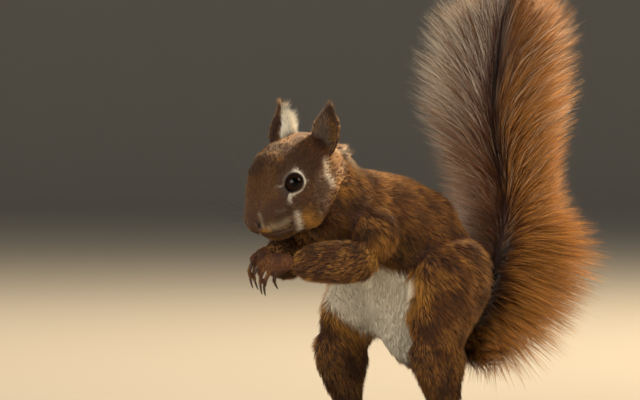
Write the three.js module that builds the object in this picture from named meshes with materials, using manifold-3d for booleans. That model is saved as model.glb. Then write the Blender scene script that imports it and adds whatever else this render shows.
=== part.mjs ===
// A red squirrel standing up on its hind feet, its forepaws held together under the chin and its tail
// raised.
//
// Millimetres, +Z up. The animal faces -Y, and its left side is +X. Every solid goes out to the tips of
// the coat. The pose is laid out with the floor at z = 0 and the trunk's middle plane at x = 0. At the end
// the whole animal is moved so that the origin is at the middle of its box, on the floor.
import * as THREE from 'three';
import { mergeVertices } from 'three/addons/utils/BufferGeometryUtils.js';
import Module from 'manifold-3d';

const wasm = await Module();
wasm.setup();

// ---------------------------------------------------------------- driving dimensions

const GAP = 0.4;                  // clear space between neighbouring solids
const LEFT = 1;
const RIGHT = -1;
const SIDES = { left: LEFT, right: RIGHT };

// Trunk: the middle line from the shoulders to the rump, as [y, z], with its half width, and its half
// height towards the back and towards the belly.
const TRUNK = {
  throat:   { at: [-46, 114], half: 17, back: 17, belly: 18 },
  shoulder: { at: [-33, 110], half: 21, back: 21, belly: 20 },
  chest:    { at: [-13, 104], half: 24.5, back: 24, belly: 22 },
  waist:    { at: [9, 95],    half: 28, back: 29, belly: 32 },
  loin:     { at: [20, 77],   half: 29.5, back: 29, belly: 32 },
  rump:     { at: [20, 55],   half: 28, back: 28, belly: 28 },
  seat:     { at: [15, 30],   half: 21, back: 22, belly: 22 },
};
const NECK_SHARE = 0.17;          // where the neck, chest and belly are parted, as shares of the middle line
const CHEST_SHARE = 0.43;

// Head: measured from the point between the eyes' middles, along the line to the muzzle and square to it.
const EYES_AT = [-77, 122.5];     // [y, z]
const HEAD_PITCH = 29;            // degrees that the muzzle points down
const NOSE = { ahead: 25.6, up: -8.4, half: 4 };
const EYE_RADIUS = 5.5;
const EYE_APART = 11.3;           // from the middle plane to the eyeball's centre
const EYE_LOOKS = [0.78, 0.52, 0.34];         // outwards, ahead and up
const SOCKET = { radius: 5.2, out: 5.4 };      // the round opening of the lids, out from the eyeball's centre
// Stations from the nape to the nose: how far ahead, the crown, the widest level, the chin and the half
// width.
const HEAD = {
  nape:    { ahead: -36,  top: 8,    wide: -3,   low: -13,   half: 12.5 },
  nuchal:  { ahead: -31,  top: 12,   wide: -4,   low: -18.5, half: 16 },
  earBase: { ahead: -23,  top: 14.8, wide: -5,   low: -22.5, half: 18.6 },
  cheek:   { ahead: -14,  top: 16.6, wide: -7,   low: -26,   half: 19.4 },
  temple:  { ahead: -6,   top: 16.4, wide: -7,   low: -26.5, half: 19.2 },
  brow:    { ahead: 2,    top: 14.4, wide: -7.5, low: -26.5, half: 17.8 },
  bridge:  { ahead: 9,    top: 9.6,  wide: -8.5, low: -26,   half: 14.6 },
  muzzle:  { ahead: 15,   top: 4.4,  wide: -9,   low: -23.4, half: 11.2 },
  lip:     { ahead: 20,   top: 0,    wide: -9,   low: -18.2, half: 8.2 },
  noseTip: { ahead: 23.6, top: -3.2, wide: -8.6, low: -14,   half: 6 },
};
const EAR = {                     // angles in degrees, and the place of its root
  height: 25.5, width: 17.5, thick: 3.6, cup: 4, lean: 29, turn: 2, spread: 9, out: 14, ahead: -21.5, up: 1.2,
};

// Legs, for the left side, each station at [x, y, z] with half its length and half its width.
const THIGH = {                   // folded over the calf, from the hip down to the knee
  hip:    { at: [14, 23, 97],  long: 17, wide: 13 },
  haunch: { at: [24, 18, 80],  long: 25, wide: 16.5 },
  ham:    { at: [28, 4.5, 59], long: 20.5, wide: 14 },
  knee:   { at: [30, -2, 38],  long: 16, wide: 11 },
};
const SHANK = {
  knee:  { at: [30, -5, 56],   long: 15, wide: 10 },
  calf:  { at: [30, -1, 41],   long: 17.5, wide: 11 },
  shin:  { at: [29.5, 1, 28],  long: 15, wide: 9.5 },
  ankle: { at: [28.5, 4, 16],  long: 8.6, wide: 7.4 },
  heel:  { at: [27.5, 10, 6],  long: 6.5, wide: 5.8 },
};
const HEEL = [27.5, 19];                       // [x, y]
const HIND_STEP = { left: 5, right: -6 };      // how far each ankle is set back (+) or ahead (-)
const FOOT = { instep: 14, ball: 34, halfWidth: 6.4, splay: 5 };
const TOES = [                                 // from the inside out, spread in degrees
  { length: 9.5,  spread: -20, back: 8 },
  { length: 14.5, spread: -8,  back: 1 },
  { length: 16,   spread: 0,   back: 0 },
  { length: 15,   spread: 8,   back: 1 },
  { length: 10.5, spread: 20,  back: 7 },
];
const TOE_RADIUS = 2.1;

// Arms, for the left side, each station at [x, y, z] with half its height and half its width.
const UPPER_ARM = {
  shoulder: { at: [13, -25, 111], long: 14, wide: 9 },
  upper:    { at: [22, -33, 99],  long: 13.5, wide: 9.5 },
  elbow:    { at: [27, -38, 86],  long: 9.5, wide: 8 },
};
const FOREARM = {
  elbow: { at: [27, -35, 85],       long: 10.5, wide: 8 },
  fore:  { at: [24, -46, 84.5],     long: 11, wide: 8 },
  mid:   { at: [20, -57, 84],       long: 11, wide: 7.2 },
  low:   { at: [15, -68, 83.6],     long: 9.6, wide: 6 },
  wrist: { at: [10.5, -76, 83.8],   long: 7, wide: 5 },
};
const PALM = {
  wrist:    { at: [11, -75, 84.5],  long: 4.6, wide: 4 },
  palm:     { at: [6.5, -86, 83],   long: 6, wide: 3.6 },
  knuckles: { at: [5.6, -90, 81],   long: 5.4, wide: 3 },
};
const HAND_SET = {                             // how far each hand is drawn back and lifted
  left: { back: 0, up: 0 },
  right: { back: 5, up: 2.5 },
};
// Fingers from the uppermost down, as root, middle joint and end. Each is out, ahead and up from the palm.
const FINGERS = [
  [[-0.6, 1.5, 2.6], [-0.8, 7.0, 1.4],  [-1.8, 8.8, -1.4]],
  [[0.2, 1.5, 0.6],  [0.4, 7.6, -3.2],  [-0.4, 7.8, -10.4]],
  [[0.6, 0.5, -1.6], [0.8, 4.9, -5.6],  [-0.7, 5.0, -11.2]],
  [[1.2, -2.0, -2.6], [1.8, 0.6, -5.4], [1.0, -0.4, -8.6]],
];
const FINGER_RADIUS = { root: 1.55, joint: 1.4, end: 1.15 };
const CLAW = { length: 5, root: 0.95, bend: 42 };

// Tail: the bone's line as [x, y, z], then how far the hair stands out to each side, in front and behind, and
// how far the fan is turned about the bone, in degrees. Hair at the tip goes on past the last bone.
const TAIL = {
  root:   { at: [0, 41, 37],   left: 32, right: 24, front: 11, behind: 16, turn: 0 },
  bend:   { at: [2, 58, 44],   left: 52, right: 37, front: 13, behind: 31, turn: 4 },
  lower:  { at: [3, 69, 66],   left: 55, right: 40, front: 13, behind: 31, turn: 9 },
  fan:    { at: [5, 77, 91],   left: 54, right: 41, front: 12, behind: 24, turn: 13 },
  waist:  { at: [6, 78, 115],  left: 33, right: 38, front: 11, behind: 13, turn: 18 },
  middle: { at: [6, 72, 140],  left: 38, right: 38, front: 11, behind: 11, turn: 22 },
  upper:  { at: [6, 70, 164],  left: 44, right: 45, front: 12, behind: 11, turn: 24 },
  crown:  { at: [5, 75, 188],  left: 42, right: 46, front: 12, behind: 11, turn: 24 },
  tip:    { at: [4, 83, 210],  left: 36, right: 41, front: 10, behind: 10, turn: 24 },
  hair:   { at: [3, 89, 233],  left: 20, right: 24, front: 6,  behind: 6,  turn: 24 },
};
const TAIL_CUTS = [0.24, 0.47, 0.7];           // where the tail is parted, as shares of its line
const TAIL_SECTION = 1.5;                      // the power of its section's ellipse: its sides are thin

const FACETS = {                               // [sides, rings]
  trunk: [22, 14], neck: [16, 8], head: [22, 17], ear: [10, 9], eye: [12, 8],
  thigh: [16, 9], shank: [12, 7], foot: [10, 7], toe: [6, 4], arm: [12, 7], palm: [8, 5], finger: [6, 5],
  claw: [5, 4], tail: [18, 16],
};

// ---------------------------------------------------------------- finishes

const finish = (color, roughness) => new THREE.MeshStandardMaterial({ color, roughness, metalness: 0 });
const FINISH = {
  coat: finish('#7a4322', 0.85),
  belly: finish('#e6dcc2', 0.9),
  tail: finish('#6d3a1b', 0.85),
  ear: finish('#5e3520', 0.85),
  eye: finish('#120b08', 0.08),
  claw: finish('#2a211b', 0.4),
};

// ---------------------------------------------------------------- solids

// A closed geometry as a manifold-3d solid, turned to face outwards.
function solidOf(geometry) {
  const bare = geometry.clone();
  bare.deleteAttribute('normal');
  bare.deleteAttribute('uv');
  const merged = mergeVertices(bare, 1e-4);
  const triVerts = new Uint32Array(merged.index.array);
  const build = () => new wasm.Manifold(
    new wasm.Mesh({ numProp: 3, vertProperties: merged.attributes.position.array, triVerts }),
  );
  const made = build();
  if (made.volume() > 0) return made;
  for (let i = 0; i < triVerts.length; i += 3) {
    [triVerts[i + 1], triVerts[i + 2]] = [triVerts[i + 2], triVerts[i + 1]];
  }
  return build();
}

// The largest body of a solid, as a geometry.
function geometryOf(solid) {
  const bodies = solid.decompose();
  const largest = bodies.reduce((a, b) => (b.volume() > a.volume() ? b : a));
  const { vertProperties, numProp, numVert, triVerts } = largest.getMesh();
  const positions = new Float32Array(numVert * 3);
  for (let i = 0; i < numVert; i += 1) {
    positions.set(vertProperties.subarray(i * numProp, i * numProp + 3), i * 3);
  }
  const geometry = new THREE.BufferGeometry();
  geometry.setAttribute('position', new THREE.BufferAttribute(positions, 3));
  geometry.setIndex(new THREE.BufferAttribute(new Uint32Array(triVerts), 1));
  geometry.computeVertexNormals();
  return geometry;
}

const middle = ([y, z]) => new THREE.Vector3(0, y, z);
const onSide = (side, [x, y, z]) => new THREE.Vector3(side * x, y, z);

// How full a rounded body is at share t of its line, with its two ends' lengths given as shares.
function ending(t, [start, end]) {
  const away = Math.max(0, 1 - t / start, 1 - (1 - t) / end);
  return Math.sqrt(Math.max(0, 1 - away * away));
}

// A body of flesh along a smooth line: a sphere whose rings are set square to the line and sized at each
// station. A station has a point, half widths to the left and right, and half depths to the front and
// behind. Its across is the direction of its left side. grow makes the body larger all over, and square is
// the power of the rings' ellipse, 2 for a true one.
function flesh(stations, { facets, ends = [0.2, 0.2], grow = 0, square = 2 }) {
  const geometry = new THREE.SphereGeometry(1, ...facets);
  const line = new THREE.CatmullRomCurve3(stations.map((s) => s.point));
  const widths = new THREE.CatmullRomCurve3(stations.map((s) => new THREE.Vector3(s.left, s.right, 0)));
  const depths = new THREE.CatmullRomCurve3(stations.map((s) => new THREE.Vector3(s.front, s.behind, 0)));
  const sideways = new THREE.CatmullRomCurve3(stations.map((s) => s.across));
  const position = geometry.attributes.position;
  const v = new THREE.Vector3();
  for (let i = 0; i < position.count; i += 1) {
    v.fromBufferAttribute(position, i);
    const t = (1 - THREE.MathUtils.clamp(v.y, -1, 1)) / 2;
    const angle = Math.atan2(v.z, v.x);
    const full = ending(t, ends);
    const tangent = line.getTangent(t);
    const leftwards = sideways.getPoint(t);
    const across = leftwards.addScaledVector(tangent, -leftwards.dot(tangent)).normalize();
    const front = new THREE.Vector3().crossVectors(tangent, across);
    const [c, s] = [Math.cos(angle), Math.sin(angle)];
    const rounded = (value) => Math.sign(value) * Math.abs(value) ** (2 / square);
    const width = widths.getPoint(t);
    const depth = depths.getPoint(t);
    const out = (c > 0 ? width.x : width.y) * full + grow;
    const forth = (s > 0 ? depth.x : depth.y) * full + grow;
    const pole = Math.abs(v.y) > 1 - 1e-6;
    const lengthen = grow * (1 - 2 * t) * (1 - full);
    const centre = line.getPoint(t).addScaledVector(tangent, -lengthen);
    if (!pole) centre.addScaledVector(across, out * rounded(c)).addScaledVector(front, forth * rounded(s));
    position.setXYZ(i, centre.x, centre.y, centre.z);
  }
  return solidOf(geometry);
}

const X_AXIS = new THREE.Vector3(1, 0, 0);
const FORWARD = new THREE.Vector3(0, -1, 0);
const UPWARD = new THREE.Vector3(0, 0, 1);
const round = (point, half, depth = half, across = X_AXIS) => (
  { point, left: half, right: half, front: depth, behind: depth, across }
);

// The half space beyond a point, as a large box, for parting a body with a flat cut.
function beyond(point, direction, size = 300) {
  const box = new THREE.BoxGeometry(size, size, size).translate(0, 0, size / 2);
  const turn = new THREE.Quaternion().setFromUnitVectors(UPWARD, direction.clone().normalize());
  box.applyQuaternion(turn).translate(point.x, point.y, point.z);
  return solidOf(box);
}

// Parts a body across its line at the given shares, leaving GAP between the lengths.
function parted(solid, line, shares) {
  const lengths = [];
  let rest = solid;
  for (const share of shares) {
    const point = line.getPoint(share);
    const along = line.getTangent(share);
    const ahead = point.clone().addScaledVector(along, GAP / 2);
    const back = point.clone().addScaledVector(along, -GAP / 2);
    lengths.push(rest.subtract(beyond(back, along)));
    rest = rest.intersect(beyond(ahead, along));
  }
  lengths.push(rest);
  return lengths;
}

const joined = (...solids) => solids.reduce((all, one) => all.add(one));
const without = (solid, ...others) => others.reduce((left, other) => left.subtract(other), solid);

const squirrel = new THREE.Group();
squirrel.name = 'squirrel';
const posed = new THREE.Group();
squirrel.add(posed);

function show(name, solid, material) {
  const mesh = new THREE.Mesh(geometryOf(solid), material);
  mesh.name = name;
  posed.add(mesh);
}

// ---------------------------------------------------------------- trunk and neck

const trunkStations = Object.values(TRUNK).map(({ at, half, back, belly }) => ({
  point: middle(at), left: half, right: half, front: belly, behind: back, across: X_AXIS.clone(),
}));
const trunkLine = new THREE.CatmullRomCurve3(trunkStations.map((s) => s.point));
const trunk = (grow = 0) => flesh(trunkStations, { facets: FACETS.trunk, ends: [0.16, 0.2], grow });

const headFrame = new THREE.Matrix4()
  .makeRotationX(THREE.MathUtils.degToRad(HEAD_PITCH))
  .setPosition(middle(EYES_AT));
// A point of the head: x to the left, how far ahead of the eyes and how far above them.
const onHead = (x, ahead, up) => new THREE.Vector3(x, -ahead, up).applyMatrix4(headFrame);

const neckStations = [
  round(onHead(0, -10, -6), 13, 14),
  round(onHead(0, -22, -5), 17.5, 19.5),
  round(middle([-44, 117]), 19.5, 21.5),
  round(middle([-34, 111]), 20.5, 22),
  round(middle([-18, 104]), 20, 21),
];
const neck = (grow = 0) => flesh(neckStations, { facets: FACETS.neck, ends: [0.3, 0.3], grow });

// ---------------------------------------------------------------- head

const headStations = Object.values(HEAD).map(({ ahead, top, wide, low, half }) => ({
  point: onHead(0, ahead, wide), left: half, right: half, front: top - wide, behind: wide - low,
  across: X_AXIS.clone(),
}));
headStations.push(round(onHead(0, NOSE.ahead, NOSE.up), NOSE.half));

const eyeCentre = (side) => onHead(side * EYE_APART, 0, 0);
const eyeball = (side, grow = 0) => {
  const centre = eyeCentre(side);
  const ball = new THREE.SphereGeometry(EYE_RADIUS + grow, ...FACETS.eye);
  return solidOf(ball.rotateZ(Math.PI / 2).translate(centre.x, centre.y, centre.z));
};

// The head, opened over each eye where the lids part.
function head(grow = 0) {
  const skull = flesh(headStations, { facets: FACETS.head, ends: [0.1, 0.07], grow, square: 2.5 });
  const sockets = [LEFT, RIGHT].map((side) => {
    const [outwards, ahead, up] = EYE_LOOKS.map((share) => share * SOCKET.out);
    const centre = onHead(side * (EYE_APART + outwards), ahead, up);
    const bowl = new THREE.SphereGeometry(SOCKET.radius - grow, ...FACETS.eye);
    return solidOf(bowl.rotateZ(Math.PI / 2).translate(centre.x, centre.y, centre.z));
  });
  return without(skull, ...sockets);
}

// An ear: a cupped leaf, widest at two fifths of its height and drawn to a point with its tuft.
function ear(side, grow = 0) {
  const leaf = new THREE.SphereGeometry(1, ...FACETS.ear);
  const position = leaf.attributes.position;
  for (let i = 0; i < position.count; i += 1) {
    const [x, y, z] = [position.getX(i), position.getY(i), position.getZ(i)];
    const up = (y + 1) / 2;
    const taper = up < 0.4 ? 1 : 1 - 0.5 * ((up - 0.4) / 0.6) ** 2;
    const width = x * taper * EAR.width / 2;
    const cupped = (2 * width / EAR.width) ** 2 * (1 - 0.45 * up);
    const bowed = 0.35 * Math.sin(Math.PI * up);
    const hollow = EAR.cup * (cupped - bowed);
    const thick = EAR.thick / 2 * (1.25 - 0.55 * up) + grow;
    position.setXYZ(i, width + x * grow, z * thick - hollow, up * EAR.height);
  }
  // The leaf is made facing -Y. It turns outwards, leans back and stands on the side of the crown.
  leaf.rotateZ(THREE.MathUtils.degToRad(side * EAR.turn));
  leaf.rotateX(THREE.MathUtils.degToRad(-EAR.lean));
  leaf.rotateY(THREE.MathUtils.degToRad(side * EAR.spread));
  leaf.translate(side * EAR.out, -EAR.ahead, EAR.up);
  leaf.applyMatrix4(headFrame);
  return solidOf(leaf);
}

// ---------------------------------------------------------------- hind legs

// The foot sets its own step, and the leg above gives way to it: all of it at the floor, none at the hip.
const STEP_FADES = { from: 18, to: 78 };       // heights of the full step and of none
const stepped = (name, point) => {
  const share = THREE.MathUtils.clamp((STEP_FADES.to - point.z) / (STEP_FADES.to - STEP_FADES.from), 0, 1);
  return point.add(new THREE.Vector3(0, HIND_STEP[name] * share, 0));
};
const legStation = (name, { at, long, wide }) => (
  round(stepped(name, onSide(SIDES[name], at)), long, wide, FORWARD)
);
const thigh = (name, grow = 0) => flesh(
  Object.values(THIGH).map((station) => legStation(name, station)),
  { facets: FACETS.thigh, ends: [0.36, 0.22], grow },
);
const shank = (name, grow = 0) => flesh(
  Object.values(SHANK).map((station) => legStation(name, station)),
  { facets: FACETS.shank, ends: [0.25, 0.15], grow },
);

// A point of the foot: how far ahead of the heel, out from the foot's line and up. It is splayed outwards.
function footPoint(name, ahead, out, up) {
  const side = SIDES[name];
  const splay = THREE.MathUtils.degToRad(FOOT.splay) * side;
  const heel = stepped(name, onSide(side, [...HEEL, 0]));
  return new THREE.Vector3(side * out, -ahead, up).applyAxisAngle(UPWARD, splay).add(heel);
}

// A toe's root under the instep, its knuckle and its end. Toes start side by side across the ball.
const TOES_APART = 0.24;          // out from the foot's line, for each degree of spread
function toeLine(name, { length, spread, back }) {
  const start = FOOT.ball - back;
  const angle = THREE.MathUtils.degToRad(spread);
  const out = spread * TOES_APART;
  const reach = (share, up) => (
    footPoint(name, start + Math.cos(angle) * length * share, out + Math.sin(angle) * length * share, up)
  );
  return { root: footPoint(name, start - 8, out * 0.7, 3.4), knuckle: reach(0.45, 3.6), end: reach(1, 1.8) };
}

function foot(name, grow = 0) {
  const sole = flesh([
    round(footPoint(name, -3, 0, 4.4), 4.6, 4.6),
    round(footPoint(name, 6, 0, 5), 5, 5.6),
    round(footPoint(name, FOOT.instep + 4, 0, 4.2), FOOT.halfWidth - 0.6, 5),
    round(footPoint(name, FOOT.ball - 5, 0, 3.4), FOOT.halfWidth, 4.2),
    round(footPoint(name, FOOT.ball + 3, 0, 2.8), FOOT.halfWidth - 0.8, 3.4),
  ], { facets: FACETS.foot, ends: [0.16, 0.16], grow });
  const toes = TOES.map((toe) => {
    const { root, knuckle, end } = toeLine(name, toe);
    return flesh(
      [round(root, TOE_RADIUS), round(knuckle, TOE_RADIUS), round(end, TOE_RADIUS * 0.86)],
      { facets: FACETS.toe, ends: [0.2, 0.2], grow },
    );
  });
  return joined(sole, ...toes);
}

// ---------------------------------------------------------------- arms

// A hand drawn back takes its forearm with it: all of it at the wrist, none at the elbow.
const HAND_FADES = { from: -76, to: -38 };     // y of the full setting and of none
const handed = (name, point) => {
  const share = THREE.MathUtils.clamp((HAND_FADES.to - point.y) / (HAND_FADES.to - HAND_FADES.from), 0, 1);
  const { back, up } = HAND_SET[name];
  return point.add(new THREE.Vector3(0, back, up).multiplyScalar(share));
};
const armStation = (name, { at, long, wide }, across) => (
  round(handed(name, onSide(SIDES[name], at)), long, wide, across)
);
const upperArm = (name, grow = 0) => flesh(
  Object.values(UPPER_ARM).map((station) => armStation(name, station, FORWARD)),
  { facets: FACETS.arm, ends: [0.4, 0.35], grow },
);
const forearm = (name, grow = 0) => flesh(
  Object.values(FOREARM).map((station) => armStation(name, station, UPWARD)),
  { facets: FACETS.arm, ends: [0.25, 0.14], grow },
);

function fingerPoints(name, finger) {
  const side = SIDES[name];
  const palm = handed(name, onSide(side, PALM.palm.at));
  return finger.map(([out, ahead, up]) => palm.clone().add(new THREE.Vector3(side * out, -ahead, up)));
}

function hand(name, grow = 0) {
  const palm = flesh(
    Object.values(PALM).map((station) => armStation(name, station, UPWARD)),
    { facets: FACETS.palm, ends: [0.3, 0.3], grow },
  );
  const radii = Object.values(FINGER_RADIUS);
  const fingers = FINGERS.map((finger) => flesh(
    fingerPoints(name, finger).map((point, i) => round(point, radii[i])),
    { facets: FACETS.finger, ends: [0.15, 0.15], grow },
  ));
  return joined(palm, ...fingers);
}

// ---------------------------------------------------------------- claws

// A curved claw with its root at the origin, pointing along -Y and bending down.
function clawGeometry(grow = 0) {
  const claw = new THREE.SphereGeometry(1, ...FACETS.claw);
  const position = claw.attributes.position;
  const bend = THREE.MathUtils.degToRad(CLAW.bend);
  const arc = CLAW.length / bend;
  for (let i = 0; i < position.count; i += 1) {
    const [x, y, z] = [position.getX(i), position.getY(i), position.getZ(i)];
    const t = (1 - y) / 2;
    const ring = Math.hypot(x, z) || 1;
    const full = y > 1 - 1e-6 || y < -1 + 1e-6 ? 0 : (1 - 0.8 * t) * CLAW.root + grow;
    const turn = bend * t;
    const away = arc + (z / ring) * full * 1.15;
    position.setXYZ(i, (x / ring) * full * 0.8, -Math.sin(turn) * away, Math.cos(turn) * away - arc);
  }
  return claw;
}

// Each claw is set a little way into the end of its digit, in line with the last bone.
const CLAW_SET_IN = 0.6;
const CLAW_RISE = 1.1;            // hind claws grow from the upper side of the toe
const clawSpots = [];
function addClaw(name, tip, from) {
  const direction = tip.clone().sub(from).normalize();
  const turn = new THREE.Quaternion().setFromUnitVectors(FORWARD, direction);
  clawSpots.push({ name, point: tip.clone().addScaledVector(direction, -CLAW_SET_IN), turn });
}
for (const name of Object.keys(SIDES)) {
  TOES.forEach((toe, i) => {
    const { knuckle, end } = toeLine(name, toe);
    end.z += CLAW_RISE;
    knuckle.z -= CLAW_RISE;
    addClaw(`claw_hind_${name}_${i + 1}`, end, knuckle);
  });
  FINGERS.forEach((finger, i) => {
    const points = fingerPoints(name, finger);
    addClaw(`claw_fore_${name}_${i + 1}`, points.at(-1), points.at(-2));
  });
}
const clawSolid = ({ point, turn }, grow = 0) => {
  const geometry = clawGeometry(grow);
  return solidOf(geometry.applyQuaternion(turn).translate(point.x, point.y, point.z));
};

// ---------------------------------------------------------------- tail

const tailStations = Object.values(TAIL).map(({ at, left, right, front, behind, turn }) => ({
  point: new THREE.Vector3(...at), left, right, front: behind, behind: front,
  across: X_AXIS.clone().applyAxisAngle(UPWARD, THREE.MathUtils.degToRad(turn)),
}));
const tailLine = new THREE.CatmullRomCurve3(tailStations.map((s) => s.point));
const tail = flesh(tailStations, { facets: FACETS.tail, ends: [0.08, 0.12], square: TAIL_SECTION });

// ---------------------------------------------------------------- assembly

// Each solid keeps clear, by GAP, of all that are placed before it. build(grow) makes one, larger by grow.
const FLOOR = beyond(new THREE.Vector3(0, 0, 0), UPWARD.clone().negate());
const taken = [FLOOR];
const clear = (solid) => taken.reduce((left, other) => left.subtract(other), solid);

function place(name, build, material) {
  show(name, clear(build(0)), material);
  taken.push(build(GAP));
}

for (const spot of clawSpots) place(spot.name, (grow) => clawSolid(spot, grow), FINISH.claw);
for (const [name, side] of Object.entries(SIDES)) {
  place(`eye_${name}`, (grow) => eyeball(side, grow), FINISH.eye);
}
place('head', head, FINISH.coat);

const body = clear(joined(trunk(), neck()));
const [throat, chest, belly] = parted(body, trunkLine, [NECK_SHARE, CHEST_SHARE]);
show('neck', throat, FINISH.coat);
show('chest', chest, FINISH.coat);
show('belly', belly, FINISH.belly);
taken.push(trunk(GAP), neck(GAP));

for (const [name, side] of Object.entries(SIDES)) {
  place(`ear_${name}`, (grow) => ear(side, grow), FINISH.ear);
  place(`thigh_${name}`, (grow) => thigh(name, grow), FINISH.coat);
  place(`foot_${name}`, (grow) => foot(name, grow), FINISH.coat);
  place(`shank_${name}`, (grow) => shank(name, grow), FINISH.coat);
  place(`upper_arm_${name}`, (grow) => upperArm(name, grow), FINISH.coat);
  place(`forearm_${name}`, (grow) => forearm(name, grow), FINISH.coat);
  place(`hand_${name}`, (grow) => hand(name, grow), FINISH.coat);
}

const tailLengths = parted(clear(tail), tailLine, TAIL_CUTS);
['tail_base', 'tail_lower', 'tail_upper', 'tail_tip'].forEach((name, i) => {
  show(name, tailLengths[i], FINISH.tail);
});

// The origin goes to the middle of the box, on the floor.
const bounds = new THREE.Box3().setFromObject(squirrel);
const centre = bounds.getCenter(new THREE.Vector3());
posed.position.set(-centre.x, -centre.y, 0);

export default squirrel;
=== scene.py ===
"""A life-size red squirrel for a museum: one skin, eyes, claws, whiskers and a coat of solid tufts.

The solids of the frame give every size and place. The skin replaces the nodes of flesh and lies inside them
by the coat's depth, and the tail's four nodes are replaced by its long hair. Lengths in the tables are
millimetres, with x counted from the animal's middle plane, and meshes are in metres.
"""

import math

import bmesh
import bpy
import numpy as np
from bpy.props import FloatProperty, FloatVectorProperty, IntProperty, PointerProperty
from bpy.types import Operator, Panel, PropertyGroup
from mathutils import Matrix, Vector, kdtree, noise
from mathutils.bvhtree import BVHTree


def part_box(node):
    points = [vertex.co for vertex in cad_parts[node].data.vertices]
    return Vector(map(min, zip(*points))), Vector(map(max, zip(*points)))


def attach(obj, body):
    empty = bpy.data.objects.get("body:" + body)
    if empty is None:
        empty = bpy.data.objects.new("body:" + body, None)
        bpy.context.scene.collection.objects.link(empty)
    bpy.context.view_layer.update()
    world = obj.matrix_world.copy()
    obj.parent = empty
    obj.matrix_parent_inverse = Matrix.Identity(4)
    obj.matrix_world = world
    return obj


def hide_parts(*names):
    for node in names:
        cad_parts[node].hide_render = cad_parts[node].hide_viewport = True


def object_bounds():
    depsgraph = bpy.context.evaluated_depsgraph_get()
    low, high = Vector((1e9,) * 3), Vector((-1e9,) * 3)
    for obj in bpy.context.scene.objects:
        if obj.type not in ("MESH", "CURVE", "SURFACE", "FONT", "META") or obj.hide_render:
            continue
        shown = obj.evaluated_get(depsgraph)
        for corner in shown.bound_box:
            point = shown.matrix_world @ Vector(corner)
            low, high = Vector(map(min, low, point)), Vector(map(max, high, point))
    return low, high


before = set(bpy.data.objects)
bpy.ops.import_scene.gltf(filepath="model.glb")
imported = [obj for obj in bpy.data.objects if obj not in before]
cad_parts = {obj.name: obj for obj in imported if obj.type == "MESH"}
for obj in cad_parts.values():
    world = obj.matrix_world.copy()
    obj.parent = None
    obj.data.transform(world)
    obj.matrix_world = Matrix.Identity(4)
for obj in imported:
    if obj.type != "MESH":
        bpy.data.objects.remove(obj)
CAD_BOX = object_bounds()

bl_info = {
    "name": "Red Squirrel",
    "version": (1, 0, 0),
    "blender": (4, 5, 0),
    "location": "View3D > Sidebar > Squirrel",
    "description": "Builds the skin, coat, eyes, claws and whiskers of a life-size red squirrel",
    "category": "Object",
}

MM = 0.001
TAIL_SEED = 40  # added to the seed, so that no two pieces have the same random numbers
WHISKER_SEED = 71
SIDES = {"left": 1, "right": -1}

# ------------------------------------------------------------------ places on the animal


def middle_of(node):
    """The middle of a node's box, in millimetres."""
    low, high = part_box(node)
    return np.array((low + high) / 2) / MM


EYES = {name: middle_of("eye_" + name) for name in SIDES}
EYES_MIDDLE = (EYES["left"] + EYES["right"]) / 2
EYE_RADIUS = float(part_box("eye_left")[1].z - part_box("eye_left")[0].z) / MM / 2
MIDDLE_X = EYES_MIDDLE[0]

# The tables of the trunk and tail count from a place on the floor, which puts the middle of the eyes here.
PLAN_EYES = (0.0, -77.0, 122.5)
PLAN = EYES_MIDDLE - np.array(PLAN_EYES)

# The head's own directions: to its left, ahead along the muzzle and up through the crown.
HEAD_PITCH = math.radians(29)
HEAD_LEFT = np.array((1.0, 0.0, 0.0))
HEAD_AHEAD = np.array((0.0, -math.cos(HEAD_PITCH), -math.sin(HEAD_PITCH)))
HEAD_UP = np.array((0.0, -math.sin(HEAD_PITCH), math.cos(HEAD_PITCH)))
HEAD_AXES = np.array((HEAD_LEFT, HEAD_AHEAD, HEAD_UP))


def on_head(points):
    """Points as how far left of, ahead of and above the middle of the eyes."""
    return (points - EYES_MIDDLE) @ HEAD_AXES.T


def from_head(places):
    """Places on the head, as left, ahead and up, as points."""
    return np.asarray(places, float) @ HEAD_AXES + EYES_MIDDLE


NOSE_TIP = (0, 25.6, -8.4)
NOSTRIL = [(3.6, 25.0, -8.2), (4.6, 24.7, -9.8), (4.1, 24.6, -11.6)]
NOSE_PAD = (2.4, 25.0, -9.4)
PHILTRUM = [(0, 25.2, -11.5), (0, 23.6, -14.2)]
MOUTH = [(0, 23.4, -14.6), (0.6, 21.6, -16.8), (4.5, 19.0, -18.2), (8.1, 15.0, -18.9), (10.2, 10.9, -19.4)]
MOUTH_CORNER = [(10.2, 10.9, -19.4), (12.3, 10.7, -16.2)]
EYE_CORNER = (10.7, 7.3, 0.0)
TEAR = [(14.9, 7.2, 0.8), (14.1, 8.9, -0.4)]
FACE_LINES = {"nostril": NOSTRIL, "philtrum": PHILTRUM, "mouth": MOUTH, "corner": MOUTH_CORNER, "tear": TEAR}

# The tail's bone as (x, y, z), then how far the hair stands out to the left, right, front and back,
# and how far the fan is turned, in degrees.
TAIL = [
    ((0, 41, 37), 32, 24, 11, 16, 0),
    ((2, 58, 44), 56, 37, 13, 34, 4),
    ((3, 69, 66), 63, 40, 13, 36, 9),
    ((5, 77, 91), 64, 42, 12, 30, 13),
    ((6, 78, 115), 38, 42, 11, 14, 18),
    ((6, 72, 140), 40, 43, 11, 11, 22),
    ((6, 70, 164), 46, 51, 12, 11, 24),
    ((5, 75, 188), 44, 52, 12, 11, 24),
    ((4, 83, 210), 38, 46, 10, 10, 24),
    ((3, 89, 233), 20, 24, 6, 6, 24),
]
TAIL_BONE_ENDS = 0.9  # the bone's share of the tail's line: hair goes on past it
TAIL_CORE = (7.0, 3.0)  # radius of the fleshy tail at its root and at its end

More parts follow.
